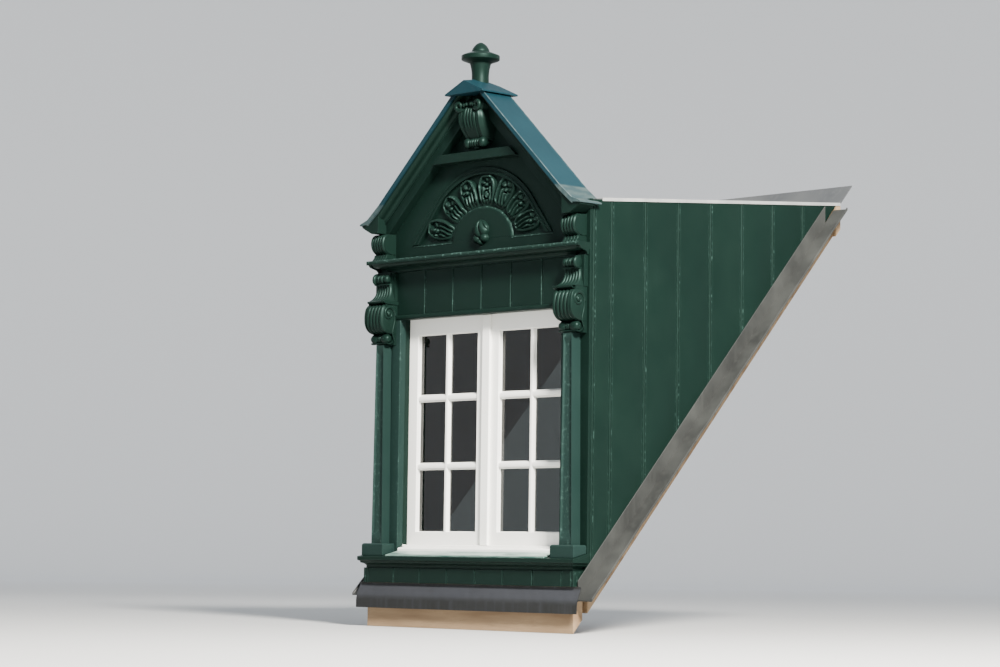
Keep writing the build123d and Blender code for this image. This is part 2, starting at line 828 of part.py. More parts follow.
def pilaster():
    """Right pilaster's tapering shaft."""
    face = polygon(
        (SHAFT_FOOT_INNER, BASE_TOP),
        (SHAFT_FOOT_OUTER, BASE_TOP),
        (SHAFT_HEAD_OUTER, SHAFT_TOP),
        (SHAFT_HEAD_INNER, SHAFT_TOP),
    )
    shaft = along_y(face, -SHAFT_FACE, 0)
    front = shaft.edges().filter_by_position(Axis.Y, -SHAFT_FACE - 0.1, -SHAFT_FACE + 0.1)
    upright = [edge for edge in front if edge.length > SHAFT_TOP / 2]
    return fillet(upright, SHAFT_EDGE_RADIUS)


def console():
    """Right scroll console: foot roll, volute, shelf, hollow neck and top roll."""
    low = SHAFT_TOP
    volute_low = low + 2 * FOOT_ROLL_RADIUS - FOOT_ROLL_BITE
    volute_high = volute_low + VOLUTE_HEIGHT
    shelf_high = volute_high + SHELF_HEIGHT
    neck_high = shelf_high + NECK_HEIGHT
    inner, outer = CONSOLE_INNER, CONSOLE_OUTER
    middle = (inner + outer) / 2
    bar = Rot(0, 90, 0) * Cylinder(FOOT_ROLL_RADIUS, outer - inner)
    foot = Pos(middle, -FOOT_ROLL_FACE + FOOT_ROLL_RADIUS, low + FOOT_ROLL_RADIUS) * bar
    back = block(inner, outer, -CONSOLE_BACK, 0, low, BED_BOTTOM)
    belly = volute_low + 0.3 * VOLUTE_HEIGHT
    front = volute_low + 0.55 * VOLUTE_HEIGHT
    brow = volute_low + 0.87 * VOLUTE_HEIGHT
    volute = outline(
        (0, volute_low),
        (-FOOT_ROLL_FACE + FOOT_ROLL_RADIUS, volute_low),
        ((-0.93 * VOLUTE_FACE, belly), (-VOLUTE_FACE, front)),
        ((-0.88 * VOLUTE_FACE, brow), (-VOLUTE_FACE + VOLUTE_SHOULDER, volute_high)),
        (0, volute_high),
    )
    sweep = shelf_high + 0.22 * NECK_HEIGHT
    throat = shelf_high + 0.7 * NECK_HEIGHT
    edge_low = volute_high + SHELF_EDGE_LOW
    edge_high = shelf_high - SHELF_EDGE_HIGH
    neck = outline(
        (0, volute_high),
        (-SHELF_FACE + SHELF_EDGE_HIGH, volute_high),
        (-SHELF_FACE, edge_low),
        (-SHELF_FACE, edge_high),
        ((-NECK_FACE - NECK_SWEEP, sweep), (-NECK_FACE, throat)),
        (-NECK_FACE - TOP_ROLL_GAP, neck_high),
        (0, neck_high),
    )
    low_x, high_x = inner + NECK_MARGIN, outer - NECK_MARGIN
    roll_y = -TOP_ROLL_FACE + TOP_ROLL_RADIUS
    top_bar = Rot(0, 90, 0) * Cylinder(TOP_ROLL_RADIUS, high_x - low_x)
    top_roll = Pos(middle, roll_y, neck_high + TOP_ROLL_RADIUS + TOP_ROLL_GAP) * top_bar
    saddle = block(low_x, high_x, roll_y, 0, neck_high, BED_BOTTOM)
    shelf = block(inner - SHELF_OVERHANG, outer, -SHELF_FACE, 0, edge_low, edge_high)
    scroll = back + foot + along_x(volute, inner, outer)
    return scroll + along_x(neck, low_x, high_x) + shelf + top_roll + saddle


def frieze_boards():
    """Boards between the window and the cornice."""
    half = CORNER_BOARD_INNER
    low = LIGHT_TOP - 2 + FRIEZE_MOULD_HEIGHT
    return block(-half, half, 0, BOARD, low, BED_BOTTOM + BED_HEIGHT)


def frieze_moulding():
    """Drip moulding under the frieze boards."""
    low = LIGHT_TOP - 2
    high = low + FRIEZE_MOULD_HEIGHT
    face = outline(
        (FRAME_FACE, low),
        (-FRIEZE_MOULD_FACE + 4, low),
        (-FRIEZE_MOULD_FACE, low + 6),
        (-FRIEZE_MOULD_FACE, high - 9),
        ((-FRIEZE_MOULD_FACE + 4, high - 3), (0, high)),
        (BOARD, high),
        (BOARD, LIGHT_TOP),
        (FRAME_FACE, LIGHT_TOP),
    )
    half = CONSOLE_INNER - 6
    front = along_x(face, -half, half)
    reach = CORNER_BOARD_INNER
    return front + block(-reach, reach, 0, BOARD, low, high)


def cornice():
    """Straight cornice with returned ends."""
    head = BED_BOTTOM + BED_HEIGHT
    top = CORNICE_TOP

    def face_of(place, back):
        ogee_middle = (BED_FOOT_FACE + BED_HEAD_FACE) / 2
        return outline(
            (back, BED_BOTTOM),
            (place(BED_FOOT_FACE), BED_BOTTOM),
            (place(BED_FOOT_FACE), BED_BOTTOM + 7),
            ((place(BED_FOOT_FACE + 9), BED_BOTTOM + 17), (place(ogee_middle), BED_BOTTOM + 24)),
            ((place(BED_HEAD_FACE - 10), BED_BOTTOM + 29), (place(BED_HEAD_FACE), head)),
            (place(CORNICE_FACE), head),
            (place(CORNICE_FACE), top),
            (back, top),
        )

    piece = returned(face_of, CORNICE_HALF_WIDTH, CORNICE_FACE, 0)
    half = CORNER_BOARD_INNER
    return piece + block(-half, half, -BED_FOOT_FACE, PANEL_FACE, head, top)


def end_block():
    """Right end block on the cornice: a scroll with a bulging face over a flared foot."""
    low = CORNICE_TOP
    waist = low + BLOCK_FOOT_HEIGHT
    face = outline(
        (0, low),
        (-BLOCK_FOOT_FACE, low),
        (-BLOCK_FOOT_FACE, low + 0.2 * BLOCK_FOOT_HEIGHT),
        ((-0.8 * BLOCK_FOOT_FACE, low + 0.5 * BLOCK_FOOT_HEIGHT), (-BLOCK_WAIST_FACE, waist)),
        ((-0.92 * BLOCK_FACE, waist + 0.24 * BLOCK_HEIGHT), (-BLOCK_FACE, BLOCK_TOP - BLOCK_SHOULDER)),
        ((-0.86 * BLOCK_FACE, BLOCK_TOP - 0.32 * BLOCK_SHOULDER), (-BLOCK_FACE + BLOCK_SHOULDER, BLOCK_TOP)),
        (0, BLOCK_TOP),
    )
    return along_x(face, BLOCK_INNER, BLOCK_OUTER)


# Gable


def gable_section():
    """Right half of the roof's outer line, from the flare's tip up to the cap."""
    knee = on_gable(FLARE_START) - FLARE_KNEE_DROP
    half_top = CAP_SEAT_DROP / tan(radians(GABLE_PITCH))
    return [
        (half_top, GABLE_TOP),
        (FLARE_START, on_gable(FLARE_START)),
        (FLARE_KNEE, knee),
        (FLARE_TIP, knee - FLARE_TIP_DROP),
    ]


def sheet_drop():
    """Height that the gable's roof takes up, measured upright."""
    return GABLE_SHEET / cos(radians(GABLE_PITCH))


def cap_opening():
    """Half the distance between the undersides of the two slopes at the cap."""
    return CAP_SEAT_DROP / tan(radians(GABLE_PITCH)) - GABLE_SHEET / sin(radians(GABLE_PITCH))


def under_flat_roof():
    """Everything in front of BIG that lies under the flat roof's covering."""
    face = polygon((0, 0), (BIG, 0), (BIG, on_flat(BIG, COVERING)), (0, on_flat(0, COVERING)))
    return along_x(face, -BIG, BIG)


def gable_roof():
    """Right slope of the gable, flared at its eave, with a tail outside the cheek."""
    line = gable_section()
    under = [(x, z - sheet_drop()) for x, z in line[:3]]
    under[0] = (cap_opening(), GABLE_TOP)
    tip_x, tip_z = line[3]
    knee = (FLARE_KNEE + EAVE_KNEE, under[2][1] + EAVE_KNEE)
    face = polygon(*line, (tip_x, tip_z - EAVE_TIP), knee, *reversed(under))
    slope = along_y(face, -GABLE_FRONT, GABLE_BACK)
    slope -= under_flat_roof() & block(0, HALF_WIDTH, 0, BIG, 0, BIG)
    return slope - block(HALF_WIDTH - 1, BIG, FLARE_TAIL_BACK, BIG, 0, BIG)


def eave_moulding():
    """Right eave's hollow moulding, which returns along the side under the flare."""
    line = gable_section()
    knee_under = line[2][1] - sheet_drop()
    knee_low = (FLARE_KNEE + EAVE_KNEE, knee_under + EAVE_KNEE)
    tip_low = (FLARE_TIP, line[3][1] - EAVE_TIP)
    end = FLARE_TIP - EAVE_FILLET
    share = (end - knee_low[0]) / (tip_low[0] - knee_low[0])
    end_height = knee_low[1] + share * (tip_low[1] - knee_low[1])
    hollow_start = BLOCK_OUTER - 3 * EAVE_FILLET
    hollow_middle = (BLOCK_OUTER + 2, BLOCK_TOP + 1.5 * EAVE_FILLET)
    face = outline(
        (EAVE_INNER, BLOCK_TOP),
        (hollow_start, BLOCK_TOP),
        (hollow_middle, (end, end_height - EAVE_FILLET)),
        (end, end_height),
        knee_low,
        (FLARE_KNEE, knee_under),
        (EAVE_INNER, on_gable(EAVE_INNER, GABLE_SHEET)),
    )
    return along_y(face, -RAKE_CROWN_FACE, 0)


def raking_cornice():
    """Right raking cornice: crown moulding and board, mitred at the apex."""
    crown = GABLE_SHEET + RAKE_CROWN_DEPTH
    middle = (RAKE_CROWN_FACE + RAKE_BOARD_FACE) / 2
    lip = RAKE_BOARD_FACE + RAKE_LIP
    face = outline(
        (PANEL_FACE, -GABLE_SHEET),
        (-RAKE_CROWN_FACE, -GABLE_SHEET),
        (-RAKE_CROWN_FACE, -GABLE_SHEET - RAKE_FILLET),
        ((-RAKE_CROWN_FACE + 12, -GABLE_SHEET - 18), (-middle, -GABLE_SHEET - 22)),
        ((-lip - 8, -GABLE_SHEET - 26), (-lip, -crown)),
        (-lip, -crown - RAKE_FILLET),
        (-RAKE_BOARD_FACE, -crown - RAKE_FILLET),
        (-RAKE_BOARD_FACE, -RAKE_DEPTH),
        (PANEL_FACE, -RAKE_DEPTH),
    )
    bar = along_x(face, -BIG / 4, BIG / 2)
    placed = Pos(0, 0, GABLE_APEX) * Rot(0, GABLE_PITCH, 0) * bar
    return placed & block(0, EAVE_INNER, -BIG, BIG, BLOCK_TOP, GABLE_TOP)


def tympanum_panel():
    """Panel behind the carving, sunk inside the arch, up to the raking cornices and the cap."""
    low = BED_BOTTOM + BED_HEIGHT
    half_top = cap_opening()
    side = CORNER_BOARD_INNER
    shoulder = on_gable(side, GABLE_SHEET)
    face = polygon(
        (-side, low),
        (side, low),
        (side, shoulder),
        (half_top, GABLE_TOP),
        (-half_top, GABLE_TOP),
        (-side, shoulder),
    )
    panel = along_y(face, PANEL_FACE, PANEL_FACE + PANEL)
    return panel - along_y(arch_face(0), PANEL_FACE - 1, PANEL_FACE + FIELD_DEPTH)


def gable_back():
    """Boarding of the gable's rear, which stands on the flat roof."""
    half_top = cap_opening()
    low = on_flat(BACK_PANEL_FACE, COVERING)
    foot = (GABLE_APEX - sheet_drop() - low) / tan(radians(GABLE_PITCH))
    face = polygon((-foot, low), (foot, low), (half_top, GABLE_TOP), (-half_top, GABLE_TOP))
    return along_y(face, BACK_PANEL_FACE, BACK_PANEL_FACE + BACK_PANEL) - under_flat_roof()


def collar_board():
    """Level board between the raking cornices under the apex scroll."""
    inside = GABLE_APEX - RAKE_DEPTH / cos(radians(GABLE_PITCH))
    lower = (inside - COLLAR_BOTTOM) / tan(radians(GABLE_PITCH))
    upper = (inside - COLLAR_TOP) / tan(radians(GABLE_PITCH))
    face = polygon((-lower, COLLAR_BOTTOM), (lower, COLLAR_BOTTOM), (upper, COLLAR_TOP), (-upper, COLLAR_TOP))
    return along_y(face, -COLLAR_FACE, PANEL_FACE)


def arch_face(inset):
    """Face under the arch's line, inset from its outer edge."""
    lean = radians(ARCH_LEG_PITCH)
    radius = ARCH_RADIUS - inset
    half = ARCH_HALF_WIDTH - inset / sin(lean)
    touch = radius * sin(lean)
    centre = ARCH_BASE + (ARCH_HALF_WIDTH - ARCH_RADIUS * sin(lean)) * tan(lean) - ARCH_RADIUS * cos(lean)
    spring = centre + radius * cos(lean)
    return outline(
        (-half, ARCH_BASE),
        (half, ARCH_BASE),
        (touch, spring),
        ((0, centre + radius), (-touch, spring)),
    )


def arch_moulding():
    """Arched moulding round the fan, with straight legs and a round head."""
    front = PANEL_FACE - ARCH_RELIEF
    seat = PANEL_FACE + FIELD_DEPTH
    outer = along_y(arch_face(0), front, seat)
    inner = along_y(arch_face(ARCH_WIDTH), front - 1, seat + 1)
    groove = along_y(arch_face(ARCH_WIDTH * 0.36), front - 1, front + ARCH_GROOVE)
    groove -= along_y(arch_face(ARCH_WIDTH * 0.64), front - 2, front + ARCH_GROOVE + 1)
    return outer - inner - groove


def leaf():
    """One leaf of the fan, lying flat: a domed drop, hollowed inside its rim, with an eye."""
    drop = extrude(Ellipse(LEAF_LENGTH, LEAF_WIDTH), LEAF_RELIEF, taper=LEAF_TAPER)
    share = LEAF_HOLLOW_SHARE
    hollow = extrude(Ellipse(share * LEAF_LENGTH, share * LEAF_WIDTH), LEAF_HOLLOW + 1)
    eye = Pos(-LEAF_EYE_OFFSET, 0, LEAF_RELIEF - LEAF_HOLLOW) * Sphere(LEAF_EYE_RADIUS)
    return drop - Pos(0, 0, LEAF_RELIEF - LEAF_HOLLOW) * hollow + eye


def fan_carving():
    """Half disc level with the panel, and leaves that stand round it in the sunk field."""
    disc = outline(
        (-DISC_HALF_WIDTH, ARCH_BASE),
        (DISC_HALF_WIDTH, ARCH_BASE),
        ((0, ARCH_BASE + DISC_HEIGHT), (-DISC_HALF_WIDTH, ARCH_BASE)),
    )
    field = PANEL_FACE + FIELD_DEPTH
    inside = arch_face(ARCH_WIDTH)
    piece = along_y(inside, field - GROUND_RELIEF, field)
    for number in range(LEAF_COUNT):
        turn = radians(90 + (number - (LEAF_COUNT - 1) / 2) * LEAF_SPREAD)
        x = LEAF_RING_WIDTH * cos(turn)
        z = LEAF_RING_HEIGHT * sin(turn)
        stood = Rot(0, -degrees(atan2(z, x)), 0) * Rot(90, 0, 0) * leaf()
        piece += Pos(x, field, ARCH_BASE + z) * stood
    piece &= along_y(inside, -BIG, field)
    return piece + along_y(disc, PANEL_FACE, field)


def rosette():
    """Carved bud on the half disc, with two lobes under it."""
    ball = Sphere(ROSETTE_RELIEF)
    wide = ROSETTE_HALF_WIDTH / ROSETTE_RELIEF
    tall = ROSETTE_HALF_HEIGHT / ROSETTE_RELIEF
    piece = Pos(0, PANEL_FACE, ROSETTE_HEIGHT) * scale(ball, by=(wide, 1, tall))
    for side in (-1, 1):
        lobe = Sphere(ROSETTE_LOBE_RADIUS)
        piece += Pos(side * ROSETTE_LOBE_OFFSET, PANEL_FACE, ROSETTE_HEIGHT - ROSETTE_LOBE_DROP) * lobe
    return piece & block(-BIG, BIG, -BIG, PANEL_FACE, 0, BIG)


def apex_console():
    """Hanging scroll under the apex: two eyes that face the front, a tapering body and a roll."""
    eye = extrude(Plane.XZ * Circle(APEX_SCROLL_RADIUS), amount=APEX_SCROLL_FACE + PANEL_FACE)
    right = Pos(APEX_SCROLL_OFFSET, PANEL_FACE, APEX_SCROLL_HEIGHT) * eye
    roll = Rot(0, 90, 0) * Cylinder(APEX_ROLL_RADIUS, 2 * APEX_ROLL_HALF_WIDTH)
    foot = Pos(0, PANEL_FACE - APEX_ROLL_SETBACK, APEX_ROLL_HEIGHT) * roll
    low = APEX_ROLL_HEIGHT - APEX_ROLL_RADIUS / 3
    brow = APEX_SCROLL_HEIGHT - APEX_SCROLL_RADIUS
    high = APEX_SCROLL_HEIGHT + APEX_SCROLL_RADIUS / 2
    body = outline(
        (PANEL_FACE, low),
        (PANEL_FACE - APEX_ROLL_SETBACK, low),
        ((-0.55 * APEX_BODY_FACE, low + 0.4 * (brow - low)), (-APEX_BODY_FACE, brow)),
        (-0.88 * APEX_BODY_FACE, high),
        (PANEL_FACE, high),
    )
    bracket = along_x(body, -APEX_BODY_HALF_WIDTH, APEX_BODY_HALF_WIDTH)
    bracket += [right, mirror(right, about=Plane.YZ), foot]
    rake = raking_cornice()
    bracket -= [rake, mirror(rake, about=Plane.YZ)]
    return max(bracket.solids(), key=lambda solid: solid.volume)


def cap():
    """Saddle cap on the cut-off gable top, whose ridge rises from both ends to the finial."""
    low = GABLE_TOP
    top = low + CAP_RISE + CAP_SWELL
    face = polygon(
        (-CAP_HALF_WIDTH, low),
        (CAP_HALF_WIDTH, low),
        (CAP_HALF_WIDTH, low + CAP_EDGE),
        (0, top),
        (-CAP_HALF_WIDTH, low + CAP_EDGE),
    )
    piece = along_y(face, -CAP_FRONT, CAP_BACK)
    fall = (CAP_RISE - CAP_EDGE) / CAP_HALF_WIDTH
    for side in (-1, 1):
        for end in (-CAP_FRONT, CAP_BACK):
            climb = CAP_SWELL / (FINIAL_SETBACK - end)
            slope = Plane(origin=(0, FINIAL_SETBACK, top), z_dir=(side * fall, -climb, 1))
            piece = split(piece, bisect_by=slope, keep=Keep.BOTTOM)
    return piece


def finial():
    """Turned finial that stands astride the cap."""
    neck, disc, dome = FINIAL_NECK_RADIUS, FINIAL_DISC_RADIUS, FINIAL_DOME_RADIUS
    profile = outline(
        (0, FINIAL_FOOT - FINIAL_SOCKET),
        (FINIAL_FOOT_RADIUS, FINIAL_FOOT - FINIAL_SOCKET),
        (FINIAL_FOOT_RADIUS, FINIAL_FOOT),
        ((neck + 3, FINIAL_FOOT + FINIAL_NECK_RISE / 3), (neck, FINIAL_NECK)),
        ((neck + 3, FINIAL_COLLAR - 0.4 * FINIAL_COLLAR_RISE), (FINIAL_COLLAR_RADIUS, FINIAL_COLLAR)),
        (disc - 4, FINIAL_RIM_LOW),
        (disc, FINIAL_RIM_LOW + 4),
        (disc, FINIAL_RIM_HIGH - 3),
        (disc - 3, FINIAL_RIM_HIGH),
        (dome, FINIAL_DOME),
        ((0.66 * dome, FINIAL_DOME + 0.6 * FINIAL_DOME_RISE), (0.08 * dome, FINIAL_TOP)),
        (0, FINIAL_TOP),
    )
    turned = Pos(0, FINIAL_SETBACK, 0) * revolve(Plane.XZ * profile, Axis.Z)
    return turned - cap()


def main():
    """Build and write every piece."""
    os.makedirs("parts", exist_ok=True)
    save("curb_front", curb_front())
    save("sill_beam", sill_beam())
    save("rear_header", header())
    save("head_frame", head_frame())
    save("roof_deck", roof_deck())
    save("roof_covering", roof_covering())
    save("ceiling_lining", ceiling_lining())
    save("head_lining", head_lining())
    save("apron_boards", apron_boards())
    save("apron_flashing", apron_flashing())
    save("sill", sill())
    save("sill_board", sill_board())
    save("window_frame", window_frame())
    save("cover_strip", cover_strip())
    save("window_board", window_board())
    save("frieze_boards", frieze_boards())
    save("frieze_moulding", frieze_moulding())
    save("cornice", cornice())
    save("tympanum_panel", tympanum_panel())
    save("gable_back", gable_back())
    save("collar_board", collar_board())
    save("arch_moulding", arch_moulding())
    save("fan_carving", fan_carving())
    save("rosette", rosette())
    save("apex_console", apex_console())
    save("cap", cap())
    save("finial", finial())
    save_pair("cheek_frame", cheek_frame())
    save_pair("cheek_boards", cheek_boards())
    save_pair("cheek_lining", cheek_lining())
    save_pair("corner_board", corner_board())
    save_pair("roof_trim", roof_trim())
    save_pair("side_flashing", side_flashing())
    save_pair("sash", sash())
    save_pair("glass", glass())
    save_pair("base_block", base_block())
    save_pair("pilaster", pilaster())
    save_pair("console", console())
    save_pair("end_block", end_block())
    save_pair("gable_roof", gable_roof())
    save_pair("eave_moulding", eave_moulding())
    save_pair("raking_cornice", raking_cornice())


main()
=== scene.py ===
"""Dormer window, dressed: carved and boarded surfaces, finishes, camera and soft light.

Metres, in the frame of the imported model: X along the front, Y into the roof, Z up.
"""
import logging
from collections.abc import Callable, Sequence
from dataclasses import dataclass, field
from enum import Enum
from functools import partial
from math import cos, pi, radians, sin, tan

import bmesh
import bpy
import numpy as np
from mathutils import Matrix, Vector


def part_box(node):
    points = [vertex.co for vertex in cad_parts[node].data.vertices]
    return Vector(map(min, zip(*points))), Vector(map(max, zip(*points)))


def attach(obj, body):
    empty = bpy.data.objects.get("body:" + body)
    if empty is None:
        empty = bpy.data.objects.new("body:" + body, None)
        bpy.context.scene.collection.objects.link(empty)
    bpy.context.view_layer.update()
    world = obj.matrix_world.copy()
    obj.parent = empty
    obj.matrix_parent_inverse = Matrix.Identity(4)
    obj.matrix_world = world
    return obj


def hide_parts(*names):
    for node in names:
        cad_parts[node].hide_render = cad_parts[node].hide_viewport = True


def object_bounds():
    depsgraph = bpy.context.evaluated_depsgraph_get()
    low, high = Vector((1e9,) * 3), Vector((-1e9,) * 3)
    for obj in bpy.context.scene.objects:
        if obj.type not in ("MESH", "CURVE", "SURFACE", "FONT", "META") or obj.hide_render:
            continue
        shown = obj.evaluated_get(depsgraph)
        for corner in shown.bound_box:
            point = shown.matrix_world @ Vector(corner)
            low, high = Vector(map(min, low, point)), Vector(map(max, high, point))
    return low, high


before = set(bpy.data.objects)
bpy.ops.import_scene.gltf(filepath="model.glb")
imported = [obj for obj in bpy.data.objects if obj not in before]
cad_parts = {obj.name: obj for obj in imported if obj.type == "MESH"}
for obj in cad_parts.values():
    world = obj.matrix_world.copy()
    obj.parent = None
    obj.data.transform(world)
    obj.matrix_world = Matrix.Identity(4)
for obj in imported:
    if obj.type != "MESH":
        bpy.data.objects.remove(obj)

Array = np.ndarray
Colour = tuple[float, float, float]
Point = tuple[float, float, float]
Line = tuple[tuple[float, float], ...]
Beads = tuple[tuple[float, float, float], ...]
Edge = Callable[[Array], Array] | float
Socket = bpy.types.NodeSocket

log = logging.getLogger("dormer")
cad_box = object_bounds()

BODY = "root"
WELD = 1e-6
SLIVER = 1e-7
SOLID_WELD = 2e-6
SOLID_FLAT = radians(0.8)


class Side(Enum):
    """Half of the front that a piece stands on."""

    LEFT = -1
    RIGHT = 1

    def node(self, name: str) -> str:
        """Name of this side's node."""
        return f"{name}_{self.name.lower()}"


# Planes that the pieces follow


@dataclass(frozen=True)
class Planes:
    """The sloping planes that the dormer is cut to."""

    roof_pitch: float = radians(47.2)
    flat_front: float = 2.123
    flat_fall: float = radians(4.74)
    gable_pitch: float = radians(43.5)
    gable_apex: float = 2.854

    def roof(self, y: Array | float, level: Array | float) -> Array | float:
        """Height at y of the plane that lies level above the seat, square to the slope."""
        return y * tan(self.roof_pitch) + level / cos(self.roof_pitch)

    def flat(self, y: Array | float) -> Array | float:
        """Height at y of the flat roof's deck."""
        return self.flat_front + y * tan(self.flat_fall)

    def gable(self, x: Array | float) -> Array | float:
        """Height at x of the gable's slope."""
        return self.gable_apex - abs(x) * tan(self.gable_pitch)


PLANES = Planes()


# Curves and surfaces


def surface(x: Array | float, y: Array | float, z: Array | float) -> Array:
    """Points from their coordinates, each repeated along the axes that it lacks."""
    return np.stack(np.broadcast_arrays(x, y, z), axis=-1)


def flowing(points: Line | Array, count: int) -> Array:
    """Smooth line through points, each span the cubic of its four nearest points (Catmull-Rom).

    Args:
        points: Places that the line passes, in order.
        count: Number of points on the line.

    Returns:
        Array of count points.
    """
    p = np.asarray(points, dtype=float)
    p = np.vstack([2 * p[0] - p[1], p, 2 * p[-1] - p[-2]])
    t = np.linspace(0.0, len(points) - 1 - 1e-9, count)
    i = t.astype(int)
    s = (t - i)[:, None]
    a, b, c, d = p[i], p[i + 1], p[i + 2], p[i + 3]
    square, cube = 2 * a - 5 * b + 4 * c - d, 3 * b - a - 3 * c + d
    return 0.5 * (2 * b + (c - a) * s + square * s**2 + cube * s**3)


def outward(line: Array) -> Array:
    """Unit normals of a flat line: its direction turned a quarter to the right.

    Args:
        line: Array of points.

    Returns:
        A normal for each point.
    """
    run = np.gradient(line, axis=0)
    normal = np.stack([run[:, 1], -run[:, 0]], axis=1)
    return normal / np.maximum(np.linalg.norm(normal, axis=1, keepdims=True), 1e-9)


def step(value: Array, low: float, high: float) -> Array:
    """Soft step from 0 at low to 1 at high: 3t^2 - 2t^3."""
    t = np.clip((value - low) / (high - low), 0.0, 1.0)
    return t * t * (3 - 2 * t)


def reeds(share: Array, count: int) -> Array:
    """Rounded reeds side by side, from 0 in the grooves to 1 on the crowns: |sin(pi n u)|^0.6."""
    return np.abs(np.sin(pi * count * share)) ** 0.6


def bump(distance: Array, width: float) -> Array:
    """Bell curve exp(-(d / w)^2)."""
    return np.exp(-((distance / width) ** 2))


def arc(start: float, end: float, count: int) -> Array:
    """Points (cos t, sin t) of the unit circle, from one angle to another."""
    turn = np.linspace(start, end, count)
    return np.column_stack([np.cos(turn), np.sin(turn)])


def bead(half: float, radius: float, count: int, power: float = 1.0) -> Array:
    """Profile of a turned bead from pole to pole: (r cos(t)^power, h sin(t)).

    Args:
        half: Half its length.
        radius: Its radius.
        count: Number of points.
        power: Under 1 for a fuller bead.

    Returns:
        Points (radius, height).
    """
    turn = np.linspace(-pi / 2, pi / 2, count)
    line = np.column_stack([radius * np.cos(turn) ** power, half * np.sin(turn)])
    line[0, 0] = line[-1, 0] = 0.0
    return line


def spiral(
    centre: tuple[float, float], reach: float, eye: float, start: float, turns: float, count: int
) -> Array:
    """Flat spiral whose radius falls evenly in ratio: r = reach (eye / reach)^t.

    Args:
        centre: Middle of the eye.
        reach: Radius at the outer end.
        eye: Radius at the inner end.
        start: Angle of the outer end, in radians.
        turns: Turns, clockwise where it is negative.
        count: Number of points.

    Returns:
        Array of count points in the spiral's plane.
    """
    t = np.linspace(0.0, 1.0, count)
    radius = reach * (eye / reach) ** t
    angle = start + 2 * pi * turns * t
    return np.asarray(centre) + np.column_stack([radius * np.cos(angle), radius * np.sin(angle)])


def neighbours(index: Array) -> Array:
    """Quads between each four neighbours of a net of point numbers."""
    quads = np.stack([index[:-1, :-1], index[1:, :-1], index[1:, 1:], index[:-1, 1:]], axis=-1)
    return quads.reshape(-1, 4)


